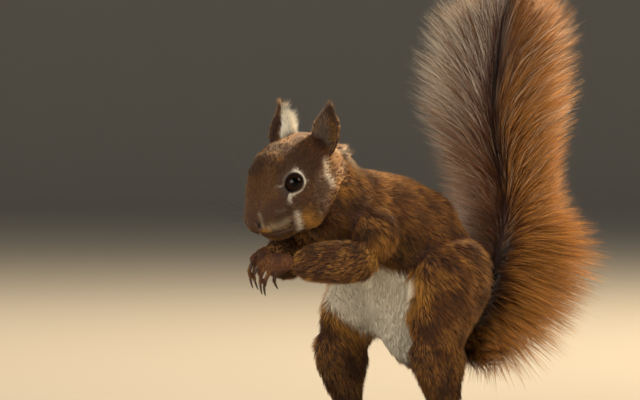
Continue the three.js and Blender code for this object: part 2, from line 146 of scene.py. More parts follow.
# The trunk's middle line from the throat to the seat, as (y, z).
TRUNK_LINE = [(-46, 114), (-33, 110), (-13, 104), (9, 95), (20, 77), (20, 55), (15, 30)]

# ------------------------------------------------------------------ the coat of each part

# depth: how far the skin lies inside the solid. length, width and lift: a tuft's size in millimetres and its
# rise from the skin in degrees. density: tufts for each square millimetre. soft: how far the skin's shape is
# smoothed. rust: how dark and red the hair is. plain: how far the skin's faces are thinned out.
PARTS = {
    "head": dict(depth=1.0, length=3.0, width=0.25, lift=16, density=5.0, soft=6, rust=0.1, plain=0.6),
    "ear": dict(depth=0.7, length=2.5, width=0.2, lift=14, density=7.5, soft=2, rust=0.45, plain=0.2),
    "neck": dict(depth=2.5, length=7.0, width=0.34, lift=18, density=4.4, soft=24, rust=0.45, plain=1.0),
    "chest": dict(depth=2.5, length=8.0, width=0.36, lift=18, density=4.2, soft=20, rust=0.2, plain=1.0),
    "belly": dict(depth=2.3, length=8.0, width=0.38, lift=18, density=2.7, soft=20, rust=0.25, plain=1.0),
    "thigh": dict(depth=2.3, length=8.0, width=0.4, lift=18, density=3.0, soft=16, rust=0.3, plain=1.0),
    "shank": dict(depth=1.5, length=6.0, width=0.34, lift=17, density=3.3, soft=10, rust=0.7, plain=1.0),
    "foot": dict(depth=0.45, length=2.3, width=0.26, lift=14, density=2.8, soft=1.5, rust=0.8, plain=0.3),
    "upper_arm": dict(depth=1.9, length=7.0, width=0.34, lift=18, density=4.2, soft=14, rust=0.5, plain=1.0),
    "forearm": dict(depth=1.2, length=5.0, width=0.3, lift=16, density=3.5, soft=8, rust=0.6, plain=1.0),
    "hand": dict(depth=0.35, length=1.4, width=0.22, lift=12, density=7.0, soft=0.5, rust=0.15, plain=0.0),
    "tail": dict(depth=0.0, length=0.0, width=0.0, lift=0, density=0.0, soft=6, rust=1.0, plain=1.0),
}
# Which way the hair runs, as left, back and up on the left side, where it doesn't follow the trunk.
LIES = {
    "thigh": (0, 0.6, -0.8),
    "shank": (0, 0.3, -0.95),
    "foot": (0, -1, -0.15),
    "upper_arm": (0.25, 0.25, -0.9),
    "forearm": (-0.34, -0.88, -0.3),
    "hand": (-0.15, -0.8, -0.55),
    "tail": (0, 0, 1),
}
PART_NAMES = list(PARTS)
ONE_EACH = ("head", "neck", "chest", "belly")
TWO_EACH = ("ear", "thigh", "shank", "foot", "upper_arm", "forearm", "hand")
FLESH = list(ONE_EACH) + [f"{part}_{side}" for part in TWO_EACH for side in SIDES]

COAT_PIECES = {
    "coat_head": ("head",),
    "coat_ears": ("ear",),
    "coat_neck": ("neck", "upper_arm"),
    "coat_chest": ("chest",),
    "coat_belly": ("belly",),
    "coat_thighs": ("thigh",),
    "coat_shanks": ("shank",),
    "coat_feet": ("foot",),
    "coat_forearms": ("forearm",),
    "coat_hands": ("hand",),
}
# Colour marks of the skin and hair; the buff and cream marks also carry painted light, and the darkest one
# painted shade.
MARKS = ("rust", "olive", "buff", "cream", "pale", "dusk")

# ------------------------------------------------------------------ small tools


def ramp(values, low, high):
    """A smooth step from 0 at low to 1 at high."""
    share = np.clip((values - low) / (high - low), 0, 1)
    return share * share * (3 - 2 * share)


def unit(vectors):
    """Vectors of length one."""
    return vectors / np.maximum(np.linalg.norm(vectors, axis=-1, keepdims=True), 1e-9)


def bell(points, centre, radius):
    """One at centre, falling off smoothly over radius."""
    return np.exp(-(((points - np.asarray(centre, float)) / radius) ** 2).sum(-1))


def mirrored(points):
    """Points of both sides, laid over each other on the left."""
    return np.abs(points[:, :1]) * (1, 0, 0) + points * (0, 1, 1)


def line_distance(points, line):
    """The distance from each point to the nearest stretch of a line."""
    line = np.asarray(line, float)
    best = np.full(len(points), 1e9)
    for start, end in zip(line[:-1], line[1:]):
        along = end - start
        share = np.clip((points - start) @ along / max(along @ along, 1e-9), 0, 1)
        best = np.minimum(best, np.linalg.norm(points - start - share[:, None] * along, axis=1))
    return best


def smooth_line(stations, shares):
    """A Catmull-Rom line through stations, read at shares of its length from 0 to 1."""
    stations = np.asarray(stations, float)
    padded = np.vstack((2 * stations[:1] - stations[1:2], stations, 2 * stations[-1:] - stations[-2:-1]))
    place = np.clip(shares, 0, 1) * (len(stations) - 1)
    first = np.minimum(place.astype(int), len(stations) - 2)
    t = (place - first)[:, None]
    before, start, end, after = (padded[first + i] for i in range(4))
    return 0.5 * (
        2 * start
        + (end - before) * t
        + (2 * before - 5 * start + 4 * end - after) * t**2
        + (3 * start - before - 3 * end + after) * t**3
    )


def add_to_scene(name, data):
    """A new object of the scene."""
    made = bpy.data.objects.new(name, data)
    bpy.context.scene.collection.objects.link(made)
    return made


def mesh_from(body, name):
    """A mesh made from a bmesh, which is then freed."""
    mesh = bpy.data.meshes.new(name)
    body.to_mesh(mesh)
    body.free()
    return mesh


def merged_copy(node):
    """A CAD node's faces as a bmesh of its own, with its corners merged."""
    solid = bmesh.new()
    solid.from_mesh(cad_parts[node].data)
    bmesh.ops.remove_doubles(solid, verts=solid.verts, dist=1e-6)
    return solid


def pour_in(body, solid):
    """Adds one bmesh to another, and frees it."""
    mesh = mesh_from(solid, "copy")
    body.from_mesh(mesh)
    bpy.data.meshes.remove(mesh)


def extruded(body, edges):
    """Extrudes a ring of edges, and gives the new ring's edges and vertices."""
    made = bmesh.ops.extrude_edge_only(body, edges=edges)["geom"]
    kinds = (bmesh.types.BMEdge, bmesh.types.BMVert)
    return [[item for item in made if isinstance(item, kind)] for kind in kinds]


def laid_flat(vectors, normals):
    """Vectors turned square to normals, and of length one."""
    return unit(vectors - (vectors * normals).sum(1, keepdims=True) * normals)


def search_tree(points, triangles):
    """A tree that finds the nearest place on a mesh."""
    return BVHTree.FromPolygons([Vector(point) for point in points], triangles.tolist())


def settings_and_dice(seed):
    """The add-on's settings, and a source of random numbers for one piece."""
    settings = bpy.context.scene.squirrel_coat
    noise.seed_set(settings.seed + seed + 1)  # until it is set, and at 0, it goes by the clock
    return settings, np.random.default_rng(settings.seed + seed)


def mesh_of(name, points, triangles):
    """A smooth-shaded mesh in metres, from arrays in millimetres."""
    mesh = bpy.data.meshes.new(name)
    mesh.vertices.add(len(points))
    mesh.vertices.foreach_set("co", (points * MM).astype(np.float32).ravel())
    mesh.loops.add(triangles.size)
    mesh.loops.foreach_set("vertex_index", triangles.astype(np.int32).ravel())
    mesh.polygons.add(len(triangles))
    mesh.polygons.foreach_set("loop_start", np.arange(0, triangles.size, 3, dtype=np.int32))
    mesh.update(calc_edges=True)
    mesh.shade_smooth()
    return mesh


def show(name, mesh, material):
    """Puts a mesh in the scene as a piece that rides on the animal's one body."""
    piece = add_to_scene(name, mesh)
    mesh.materials.append(material)
    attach(piece, "root")
    return piece


def material_named(name, make):
    """A material made once and shared."""
    return bpy.data.materials.get(name) or make()


def set_values(mesh, name, values):
    """Keeps one number, or one vector, for each vertex."""
    vector = values.ndim == 2
    attribute = mesh.attributes.new(name, "FLOAT_VECTOR" if vector else "FLOAT", "POINT")
    attribute.data.foreach_set("vector" if vector else "value", values.astype(np.float32).ravel())


def get_values(mesh, name):
    """The numbers or vectors kept by set_values."""
    attribute = mesh.attributes[name]
    vector = attribute.data_type == "FLOAT_VECTOR"
    values = np.empty(len(mesh.vertices) * (3 if vector else 1), np.float32)
    attribute.data.foreach_get("vector" if vector else "value", values)
    return values.reshape(-1, 3).astype(float) if vector else values.astype(float)


def arrays_of(mesh):
    """A triangle mesh's points in millimetres, and its triangles."""
    points = np.empty(len(mesh.vertices) * 3)
    mesh.vertices.foreach_get("co", points)
    triangles = np.empty(len(mesh.loops), np.int32)
    mesh.loops.foreach_get("vertex_index", triangles)
    return points.reshape(-1, 3) / MM, triangles.reshape(-1, 3)


def vertex_normals(points, triangles):
    """Area-weighted normals, pointing out."""
    corners = points[triangles]
    flat = np.cross(corners[:, 1] - corners[:, 0], corners[:, 2] - corners[:, 0])
    index = triangles.ravel()
    spread = np.repeat(flat, 3, axis=0)
    total = [np.bincount(index, spread[:, axis], len(points)) for axis in range(3)]
    return unit(np.stack(total, 1))


class Web:
    """The edges of a mesh, for averaging each vertex's values with its neighbours'."""

    def __init__(self, count, triangles):
        pairs = np.vstack((triangles[:, [0, 1]], triangles[:, [1, 2]], triangles[:, [2, 0]]))
        pairs = np.unique(np.sort(pairs, axis=1), axis=0)
        self.count = count
        self.here = np.concatenate((pairs[:, 0], pairs[:, 1]))
        self.there = np.concatenate((pairs[:, 1], pairs[:, 0]))
        self.number = np.maximum(np.bincount(self.here, minlength=count), 1)

    def average(self, values):
        """The mean of each vertex's neighbours."""
        columns = [np.bincount(self.here, column[self.there], self.count) for column in values.T]
        return np.stack(columns, 1) / self.number[:, None]

    def blur(self, values, times):
        """Values spread over the surface."""
        flat = values.reshape(self.count, -1)
        for _ in range(times):
            flat = 0.5 * flat + 0.5 * self.average(flat)
        return flat.reshape(values.shape)


# ------------------------------------------------------------------ materials

# The Mix node's sockets for colours: several share a name, so they go by number.
MIX_SHARE, MIX_UNDER, MIX_OVER, MIX_RESULT = 0, 6, 7, 2
KERATIN_IOR = 1.55
UNDERFUR_GRAIN = 0.7  # mm: drawn coarser than the real underfur, which is too fine to show
UNDERFUR_NAP = 0.3  # mm
HORN_STREAK = 0.4  # mm


def linear(hex_colour):
    """An sRGB hex colour as linear red, green, blue and alpha."""
    channels = [int(hex_colour[i : i + 2], 16) / 255 for i in (1, 3, 5)]
    return [c / 12.92 if c <= 0.04045 else ((c + 0.055) / 1.055) ** 2.4 for c in channels] + [1.0]


def add_node(tree, kind, sockets=None, **settings):
    """Adds a node with its settings. Each socket named is given a value, or linked to a node's output."""
    made = tree.nodes.new(kind)
    for name, value in settings.items():
        setattr(made, name, value)
    for socket, value in (sockets or {}).items():
        if isinstance(value, bpy.types.Node):
            value = value.outputs[0]
        if isinstance(value, bpy.types.NodeSocket):
            tree.links.new(value, made.inputs[socket])
        else:
            made.inputs[socket].default_value = value
    return made


def new_material(name, *kept):
    """A material, its tree, its main shader and the numbers that it reads off each vertex."""
    material = bpy.data.materials.new(name)
    material.use_nodes = True
    tree = material.node_tree
    tree.nodes.clear()
    shader = add_node(tree, "ShaderNodeBsdfPrincipled")
    add_node(tree, "ShaderNodeOutputMaterial", {"Surface": shader})
    numbers = [add_node(tree, "ShaderNodeAttribute", attribute_name=one).outputs["Fac"] for one in kept]
    return material, tree, shader, numbers


def chosen(name):
    """A colour of the add-on's settings."""
    return list(getattr(bpy.context.scene.squirrel_coat, name + "_colour"))


def laid_over(tree, colour, layers):
    """A colour with others laid over it, each with the share of it that shows."""
    for share, over in layers:
        sockets = {MIX_SHARE: share, MIX_UNDER: colour, MIX_OVER: over}
        colour = add_node(tree, "ShaderNodeMix", sockets, data_type="RGBA").outputs[MIX_RESULT]
    return colour


def marked_colour(tree, marks):
    """The colour of skin or hair by its markings."""
    return laid_over(tree, chosen("chestnut"), [(mark, chosen(name)) for name, mark in zip(MARKS, marks)])


def coat_material():
    """Guard hair of the body: dark at the root and golden at the tip, partly the hair's own colour and partly
    painted glints, with a soft gloss.
    """
    material, tree, shader, numbers = new_material(
        "guard_hair_with_golden_tips", "along", "glint", "chance", *MARKS,
    )
    along, glint, chance, *marks = numbers
    cream, pale = (marks[MARKS.index(name)] for name in ("cream", "pale"))
    light = add_node(tree, "ShaderNodeMath", {0: cream, 1: pale}, operation="MAXIMUM", use_clamp=True)
    root = {"Value": along, "From Max": 0.6, "To Min": 0.75, "To Max": 0.0}
    root = add_node(tree, "ShaderNodeMapRange", root, interpolation_type="SMOOTHSTEP")
    root = add_node(tree, "ShaderNodeMath", {0: root, 1: light}, operation="SUBTRACT", use_clamp=True)
    # The golden tips, partly painted glints, follow the glint mark.
    tip = {"Value": along, "From Min": 0.3, "From Max": 0.9, "To Max": 0.95}
    tip = add_node(tree, "ShaderNodeMapRange", tip, interpolation_type="SMOOTHSTEP")
    tip = add_node(tree, "ShaderNodeMath", {0: tip, 1: glint}, operation="MULTIPLY", use_clamp=True)
    layers = [(root, linear("#1d0e06")), (tip, chosen("golden"))]
    colour = laid_over(tree, marked_colour(tree, marks), layers)
    value = {"Value": chance, "To Min": 0.45, "To Max": 1.6}
    value = add_node(tree, "ShaderNodeMapRange", value, interpolation_type="SMOOTHSTEP")
    uneven = add_node(tree, "ShaderNodeHueSaturation", {"Value": value, "Color": colour}).outputs[0]
    white = add_node(tree, "ShaderNodeMath", {0: cream, 1: 0.7}, operation="MULTIPLY", use_clamp=True)
    tree.links.new(laid_over(tree, uneven, [(white, chosen("cream"))]), shader.inputs["Base Color"])
    shader.inputs["Roughness"].default_value = 0.5
    shader.inputs["IOR"].default_value = KERATIN_IOR
    shader.inputs["Specular IOR Level"].default_value = 0.3
    shader.inputs["Sheen Weight"].default_value = 0.04
    shader.inputs["Sheen Roughness"].default_value = 0.4
    return material


def tail_material():
    """Long tail hair: nearly black at the bone, red-brown outwards, with golden tips, brighter on the tail's
    left as painted side light, and pale tips as painted glints.
    """
    material, tree, shader, numbers = new_material(
        "long_tail_hair", "along", "gold", "silver", "dark", "chance",
    )
    along, gold, silver, dark, chance = numbers
    middle = {"Value": along, "From Min": 0.12, "From Max": 0.5}
    middle = add_node(tree, "ShaderNodeMapRange", middle, interpolation_type="SMOOTHSTEP")
    tip = {"Value": along, "From Min": 0.4, "From Max": 0.95, "To Max": 0.9}
    tip = add_node(tree, "ShaderNodeMapRange", tip, interpolation_type="SMOOTHSTEP")
    layers = [(middle, chosen("tail"))]
    for mark, over in ((gold, "tail_tip"), (silver, "silver")):
        share = add_node(tree, "ShaderNodeMath", {0: tip, 1: mark}, operation="MULTIPLY", use_clamp=True)
        layers.append((share, chosen(over)))
    colour = laid_over(tree, linear("#1a0b05"), [*layers, (dark, chosen("dusk"))])
    value = {"Value": chance, "To Min": 0.55, "To Max": 1.45}
    value = add_node(tree, "ShaderNodeMapRange", value, interpolation_type="SMOOTHSTEP")
    uneven = add_node(tree, "ShaderNodeHueSaturation", {"Value": value, "Color": colour}).outputs[0]
    tree.links.new(uneven, shader.inputs["Base Color"])
    shader.inputs["Roughness"].default_value = 0.4
    shader.inputs["IOR"].default_value = KERATIN_IOR
    return material


def skin_material():
    """Skin with its close underfur: the coat's markings, darker and dull, with a fine uneven nap."""
    material, tree, shader, numbers = new_material("skin_with_underfur", "bare", "black", *MARKS)
    bare, black, *marks = numbers
    place = add_node(tree, "ShaderNodeTexCoord").outputs["Object"]
    grain = {"Vector": place, "Scale": 1 / (UNDERFUR_GRAIN * MM), "Detail": 3.0}
    grain = add_node(tree, "ShaderNodeTexNoise", grain)
    # The black mark is the lids' dark rims and the painted shade in the face's grooves.
    layers = [(0.45, linear("#1f110a")), (bare, linear("#5a3a26")), (black, linear("#0a0504"))]
    colour = laid_over(tree, marked_colour(tree, marks), layers)
    nap = {"Value": grain, "From Min": 0.3, "From Max": 0.7}
    nap = add_node(tree, "ShaderNodeMapRange", nap, interpolation_type="SMOOTHSTEP")
    value = {"Value": nap, "To Min": 0.75, "To Max": 1.2}
    value = add_node(tree, "ShaderNodeMapRange", value, interpolation_type="SMOOTHSTEP")
    uneven = add_node(tree, "ShaderNodeHueSaturation", {"Value": value, "Color": colour}).outputs[0]
    bump = {"Height": grain, "Strength": 0.5, "Distance": UNDERFUR_NAP * MM}
    bump = add_node(tree, "ShaderNodeBump", bump)
    moist = {"Value": black, "To Min": 0.8, "To Max": 0.6}
    moist = add_node(tree, "ShaderNodeMapRange", moist, interpolation_type="SMOOTHSTEP")
    tree.links.new(uneven, shader.inputs["Base Color"])
    tree.links.new(bump.outputs[0], shader.inputs["Normal"])
    tree.links.new(moist.outputs[0], shader.inputs["Roughness"])
    return material


def eye_material():
    """The wet dark eyeball: a black pupil in a very dark brown iris, smooth and glossy."""
    material, tree, shader, (turned,) = new_material("wet_dark_eye", "turned")
    layers = []
    for low, high, over in ((0.2, 0.34, "#1a0c06"), (0.5, 0.7, "#040202")):
        share = {"Value": turned, "From Min": low, "From Max": high}
        share = add_node(tree, "ShaderNodeMapRange", share, interpolation_type="SMOOTHSTEP")
        layers.append((share, linear(over)))
    tree.links.new(laid_over(tree, linear("#010101"), layers), shader.inputs["Base Color"])
    shader.inputs["Roughness"].default_value = 0.1
    shader.inputs["IOR"].default_value = 1.36
    shader.inputs["Specular IOR Level"].default_value = 0.2
    return material


def claw_material():
    """Dark polished horn with paler growth streaks a fraction of a millimetre apart."""
    material, tree, shader, _ = new_material("dark_claw_horn")
    place = add_node(tree, "ShaderNodeTexCoord").outputs["Object"]
    streaks = {"Vector": place, "Scale": 1 / (HORN_STREAK * MM), "Detail": 2.0}
    streaks = add_node(tree, "ShaderNodeTexNoise", streaks)
    bump = {"Height": streaks, "Strength": 0.3, "Distance": 0.1 * MM}
    bump = add_node(tree, "ShaderNodeBump", bump)
    colour = laid_over(tree, linear("#15100d"), [(streaks.outputs[0], linear("#3b2c22"))])
    tree.links.new(colour, shader.inputs["Base Color"])
    tree.links.new(bump.outputs[0], shader.inputs["Normal"])
    shader.inputs["Roughness"].default_value = 0.3
    return material


def whisker_material():
    """Stiff dark whisker, paler towards its tip."""
    material, tree, shader, (along,) = new_material("stiff_whisker", "along")
    tip = add_node(
        tree, "ShaderNodeMapRange", {"Value": along, "From Min": 0.2}, interpolation_type="SMOOTHSTEP",
    )
    colour = laid_over(tree, linear("#120b08"), [(tip, linear("#4b3b2e"))])
    tree.links.new(colour, shader.inputs["Base Color"])
    shader.inputs["Roughness"].default_value = 0.35
    return material


def stage_material():
    """Matt pale paper of a studio sweep, with a grain of about a millimetre."""
    material, tree, shader, _ = new_material("pale_studio_paper")
    place = add_node(tree, "ShaderNodeTexCoord").outputs["Object"]
    grain = add_node(tree, "ShaderNodeTexNoise", {"Vector": place, "Scale": 900.0, "Detail": 2.0}).outputs[0]
    colour = laid_over(tree, linear("#a9a59d"), [(grain, linear("#afaba3"))])
    tree.links.new(colour, shader.inputs["Base Color"])
    shader.inputs["Roughness"].default_value = 0.9
    return material


# ------------------------------------------------------------------ skin


def tail_line(shares):
    """The tail's bone at shares of its line: points and the four half sizes and turn of its hair."""
    places = [at for at, *_ in TAIL]
    sizes = [row[1:] for row in TAIL]
    return smooth_line(places, shares) + PLAN, smooth_line(sizes, shares)


def tail_frames(shares):
    """Points of the tail's bone with the directions along it, to its left and behind it."""
    points, sizes = tail_line(shares)
    step = 0.004
    along = unit(tail_line(shares + step)[0] - tail_line(shares - step)[0])
    turn = np.radians(sizes[:, 4])
    left = np.stack((np.cos(turn), np.sin(turn), np.zeros(len(turn))), 1)
    left = laid_flat(left, along)
    return points, along, left, np.cross(along, left), sizes


def add_swollen_node(body, node, grow):
    """Adds a merged copy of a node, swollen a little so that the gaps between nodes close."""
    solid = merged_copy(node)
    solid.normal_update()
    for vertex in solid.verts:
        vertex.co += vertex.normal * grow * MM
    pour_in(body, solid)


def add_tail_core(body, stations=26, sides=14):
    """Adds the fleshy tail, a tapered tube along its bone, extruded ring by ring."""
    shares = np.linspace(0.0, TAIL_BONE_ENDS, stations)
    points, along, left, behind, _ = tail_frames(shares)
    radii = np.linspace(*TAIL_CORE, stations)
    places = []
    for i in range(stations):
        turn = Matrix((left[i], behind[i], along[i])).transposed().to_4x4()
        size = Matrix.Scale(radii[i] * MM, 4)
        places.append(Matrix.Translation(Vector(points[i] * MM)) @ turn @ size)
    ring = bmesh.ops.create_circle(body, cap_ends=True, radius=1, segments=sides, matrix=places[0])["verts"]
    faces = {face for vertex in ring for face in vertex.link_faces}
    edges = list({edge for face in faces for edge in face.edges})
    for before, after in zip(places[:-1], places[1:]):
        edges, verts = extruded(body, edges)
        bmesh.ops.transform(body, matrix=after @ before.inverted(), verts=verts)
    bmesh.ops.holes_fill(body, edges=edges)


def finished(mesh, kind, **settings):
    """A mesh after one modifier."""
    holder = add_to_scene("holder", mesh)
    if kind == "DECIMATE":
        group = holder.vertex_groups.new(name="plain")
        plain = settings.pop("plain")
        for weight in np.unique(plain):
            group.add([int(i) for i in np.flatnonzero(plain == weight)], float(weight), "REPLACE")
        settings["vertex_group"] = "plain"
    modifier = holder.modifiers.new(kind, kind)
    for name, value in settings.items():
        setattr(modifier, name, value)
    graph = bpy.context.evaluated_depsgraph_get()
    result = bpy.data.meshes.new_from_object(holder.evaluated_get(graph))
    bpy.data.objects.remove(holder)
    bpy.data.meshes.remove(mesh)
    return result


def node_tree_of_parts():
    """A search tree over the flesh nodes' faces and the tail's bone, with the part that each face is of."""
    corners, faces, parts = [], [], []
    for node in FLESH:
        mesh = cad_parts[node].data
        start = len(corners)
        corners += [vertex.co / MM for vertex in mesh.vertices]
        faces += [[start + i for i in polygon.vertices] for polygon in mesh.polygons]
        name = node.rsplit("_", 1)[0] if node.endswith(tuple(SIDES)) else node
        parts += [PART_NAMES.index(name)] * len(mesh.polygons)
    return BVHTree.FromPolygons(corners, faces), np.array(parts)


def parts_at(points):
    """The part that each point of the skin belongs to."""
    tree, parts = node_tree_of_parts()
    labels = np.array([parts[tree.find_nearest(Vector(point))[2]] for point in points])
    shares = np.linspace(0.1, TAIL_BONE_ENDS, 60)
    bone, *_ = tail_frames(shares)
    behind = points[:, 1] > 38
    gap = np.linalg.norm(points[behind][:, None] - bone[None], axis=2).min(1)
    labels[np.flatnonzero(behind)[gap < TAIL_CORE[0] + 1.5]] = PART_NAMES.index("tail")
    return labels


def part_values(labels, key):
    """One number for each point, from the table of parts."""
    return np.array([PARTS[name][key] for name in PART_NAMES], float)[labels]


def is_part(labels, *names):
    """Which points belong to the named parts."""
    return np.isin(labels, [PART_NAMES.index(name) for name in names])


# How far the solids are swollen, in mm, so that they join up.
SWELL = {"hand": -0.05, "foot": 0.0, "ear": 0.2}
SWELL_ELSEWHERE = 0.8
EYE_SWELL = 0.9
SMALL_PARTS = ("ear", "hand", "foot")
INSET_STEPS = 6
FACES_KEPT = 0.175  # of all faces, after thinning them out on the plain parts
LINE_KEEPS = (2.4, 4.4)  # how far round the face's lines all faces are kept, and where thinning out is full
LINE_FINE_REACH = 2.6  # how far round the face's lines the faces are made finer
# How far round an eye's middle the faces are made finer, and finer again.
LID_REACH = 9.0
LID_FINE_REACH = 6.6


def join_flesh():
    """All flesh as one closed mesh of triangles, fine on the face, ears, hands and feet."""
    body = bmesh.new()
    for node in FLESH:
        part = node.rsplit("_", 1)[0]
        add_swollen_node(body, node, SWELL.get(part, SWELL_ELSEWHERE))
    for side in SIDES:
        add_swollen_node(body, "eye_" + side, EYE_SWELL)
    add_tail_core(body)
    mesh = mesh_from(body, "flesh")
    mesh = finished(mesh, "REMESH", mode="VOXEL", voxel_size=bpy.context.scene.squirrel_coat.skin_grain)
    mesh = finished(mesh, "TRIANGULATE")
    points, _ = arrays_of(mesh)
    plain = np.round(part_values(parts_at(points), "plain") * ramp(face_line_gap(points), *LINE_KEEPS), 1)
    mesh = finished(mesh, "DECIMATE", ratio=FACES_KEPT, plain=plain, vertex_group_factor=10.0)
    mesh = refined(mesh, LID_REACH, LINE_FINE_REACH)
    return refined(mesh, LID_FINE_REACH, 0.0)


def face_line_gap(points):
    """The distance to the nearest of the face's lines, on either side."""
    head = mirrored(on_head(points))
    return np.min([line_distance(head, line) for line in FACE_LINES.values()], axis=0)


def refined(mesh, lid_reach, line_reach):
    """Halves the edges close to the eyes and to the lines of the face."""
    body = bmesh.new()
    body.from_mesh(mesh)
    points = np.array([vertex.co for vertex in body.verts]) / MM
    near = face_line_gap(points) < line_reach
    for centre in EYES.values():
        near |= np.linalg.norm(points - centre, axis=1) < lid_reach
    edges = [edge for edge in body.edges if near[edge.verts[0].index] and near[edge.verts[1].index]]
    bmesh.ops.subdivide_edges(body, edges=edges, cuts=1, use_grid_fill=True)
    bmesh.ops.triangulate(body, faces=body.faces)
    body.to_mesh(mesh)
    body.free()
    return mesh


def soften(points, web, amount):
    """Smooths without shrinking, each vertex as many times as its amount says."""
    for step in range(int(amount.max())):
        share = np.clip(amount - step, 0, 1)[:, None]
        points = points + 0.55 * share * (web.average(points) - points)
        points = points - 0.57 * share * (web.average(points) - points)
    return points


def iron(points, web, amount, passes=8):
    """Evens out pits and spikes, which stand off from their neighbours further than skin does."""
    for _ in range(passes):
        gap = web.average(points) - points
        points = points + 0.6 * gap * (amount * ramp(np.linalg.norm(gap, axis=1), 0.15, 0.4))[:, None]
    return points


def sink(points, triangles, web, depth):
    """Moves the skin inwards by the coat's depth, a little at a time."""
    for _ in range(INSET_STEPS):
        points = points - vertex_normals(points, triangles) * (depth / INSET_STEPS)[:, None]
        gentle = np.clip(depth / 3, 0, 1)[:, None] * 0.25
        points = points + gentle * (web.average(points) - points)
    return points


# ---- the face

EYE_LOOKS = unit(np.array((0.78, 0.518, 0.344)))  # outwards, ahead and up on the left
LID_HALF = (52.0, 48.0)  # degrees that the lids open from the middle of the eye, lengthways and upright
LID_CORNER = 19.0  # degrees more at the inner corner
LID_THICK = 0.3
LID_SNAP = 1.2  # degrees within which a vertex is drawn onto the lids' edge
SUNK = 1.2  # mm that the skin between the lids lies behind the eyeball's face
LID_TILT = math.radians(-12)  # the inner corner lies ahead and low
LID_ROLL = (9.0, 7.0, 0.4)  # the swelling round the lids: degrees from their edge, its reach and its height


def eye_view(points, side):
    """Points round an eye: distance, degrees from where it looks, and degrees beyond the lids' edge.

    The last two results are the directions from the eye's middle, and outwards from where it looks.
    """
    flip = np.array((SIDES[side], 1, 1))
    looks = (EYE_LOOKS * flip) @ HEAD_AXES
    corner = (np.array((0, math.cos(LID_TILT), math.sin(LID_TILT))) * flip) @ HEAD_AXES
    corner = unit(corner - (corner @ looks) * looks)
    upright = np.cross(looks, corner)
    upright = upright if upright @ HEAD_UP > 0 else -upright
    away = points - EYES[side]
    distance = np.linalg.norm(away, axis=1)
    toward = away / distance[:, None]
    angle = np.degrees(np.arccos(np.clip(toward @ looks, -1, 1)))
    outwards = unit(toward - (toward @ looks)[:, None] * looks)
    lengthways = outwards @ corner
    tall = outwards @ upright
    edge = ((np.abs(lengthways) / LID_HALF[0]) ** 2 + (np.abs(tall) / LID_HALF[1]) ** 2) ** -0.5
    edge = edge + LID_CORNER * np.clip(lengthways, 0, 1) ** 6
    return distance, angle, angle - edge, edge, looks, outwards


def seat_eye(points, side):
    """Wraps the lids round the eyeball, and sinks what they leave open behind it."""
    distance, angle, beyond, edge, looks, outwards = eye_view(points, side)
    around = (distance < EYE_RADIUS + 7) & (angle < 105)
    snapped = around & (np.abs(beyond) < LID_SNAP)
    turned = np.radians(np.where(snapped, edge, angle))[:, None]
    toward = looks * np.cos(turned) + outwards * np.sin(turned)
    middle, reach, height = LID_ROLL
    rim = EYE_RADIUS + LID_THICK + height * np.exp(-(((beyond - middle) / reach) ** 2))
    share = ramp(beyond, 8, 40)
    lidded = np.maximum(rim * (1 - share) + distance * share, EYE_RADIUS + 0.35)
    target = np.where(beyond < -LID_SNAP, EYE_RADIUS - SUNK, lidded)
    moved = EYES[side] + toward * target[:, None]
    return np.where(around[:, None], moved, points)


# Rounded swellings and hollows of the face: place on the left of the head, reach, and height.
FACE_FORMS = [
    ((6.8, 20.0, -12.0), 4.4, 0.6),    # whisker pad
    ((12.5, -3.0, -24.0), 7.5, 2.4),   # cheek and throat
    ((14.5, 2.0, 8.0), 4.5, 0.5),      # brow
    ((12.0, 12.5, -1.5), 3.4, -0.4),   # hollow before the eye
    ((0.0, 17.0, 0.5), 4.0, -0.2),     # bridge of the nose
    ((0.0, 13.0, -23.5), 5.0, 1.8),    # chin
    ((3.8, 23.6, -7.6), 1.5, 0.35),    # wing of the nostril
    ((13.0, 8.0, -16.5), 2.6, 0.5),    # pouch behind the mouth's corner
    ((8.0, -33.0, 1.5), 6.0, -1.8),    # nape
]
# Grooves: half their width, and depth.
GROOVES = {
    "nostril": (0.8, 1.2),
    "philtrum": (0.5, 0.4),
    "mouth": (0.55, 0.8),
    "corner": (0.7, 0.8),
    "tear": (0.5, 0.4),
}
# The nostrils and the creases of the mouth and before the eye are painted near-black: painted shade in their
# grooves.
SHADED_GROOVES = {"nostril": 0.9, "mouth": 0.7, "corner": 0.75, "tear": 0.5}  # half the width of each dark line


def drawn_on(tree, line):
    """A line of the head, laid on the skin."""
    dense = from_head(smooth_line(line, np.linspace(0, 1, 6 * len(line))))
    return on_head(np.array([tree.find_nearest(Vector(point))[0] for point in dense]))


def sculpt_face(points, triangles, lines):
    """Raises the pads and brow, and cuts the nostrils, the split lip and the line of the mouth."""
    head = mirrored(on_head(points))
    height = np.zeros(len(points))
    for centre, reach, amount in FACE_FORMS:
        height += amount * bell(head, centre, reach)
    for name, (reach, depth) in GROOVES.items():
        height -= depth * np.exp(-((line_distance(head, lines[name]) / reach) ** 2))
    return points + vertex_normals(points, triangles) * height[:, None]


def ear_ends(side):
    """The middle of an ear's root, and its tip."""
    corners = np.array([vertex.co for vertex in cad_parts["ear_" + side].data.vertices]) / MM
    tip = corners[corners[:, 2].argmax()]
    root = corners[corners[:, 2] < corners[:, 2].min() + 4].mean(0)
    return root, tip


def in_ears(points, normals, labels):
    """How far each point is up its ear, out from the ear's middle line, and turned to its front."""
    up_ear, aside, forward = (np.zeros(len(points)) for _ in range(3))
    for side, sign in SIDES.items():
        root, tip = ear_ends(side)
        here = is_part(labels, "ear") & (sign * (points[:, 0] - MIDDLE_X) > 0)
        along = np.clip((points - root) @ unit(tip - root) / np.linalg.norm(tip - root), 0, 1)
        axis = root + (tip - root) * along[:, None]
        up_ear[here] = along[here]
        aside[here] = sign * (points - axis)[here, 0]
        forward[here] = ramp(normals[here] @ unit(np.array((sign * 0.35, -0.93, 0.1))), 0.1, 0.7)
    return up_ear, aside, forward


EAR_BOWL = 1.3  # mm that the ear's bowl is deepened by


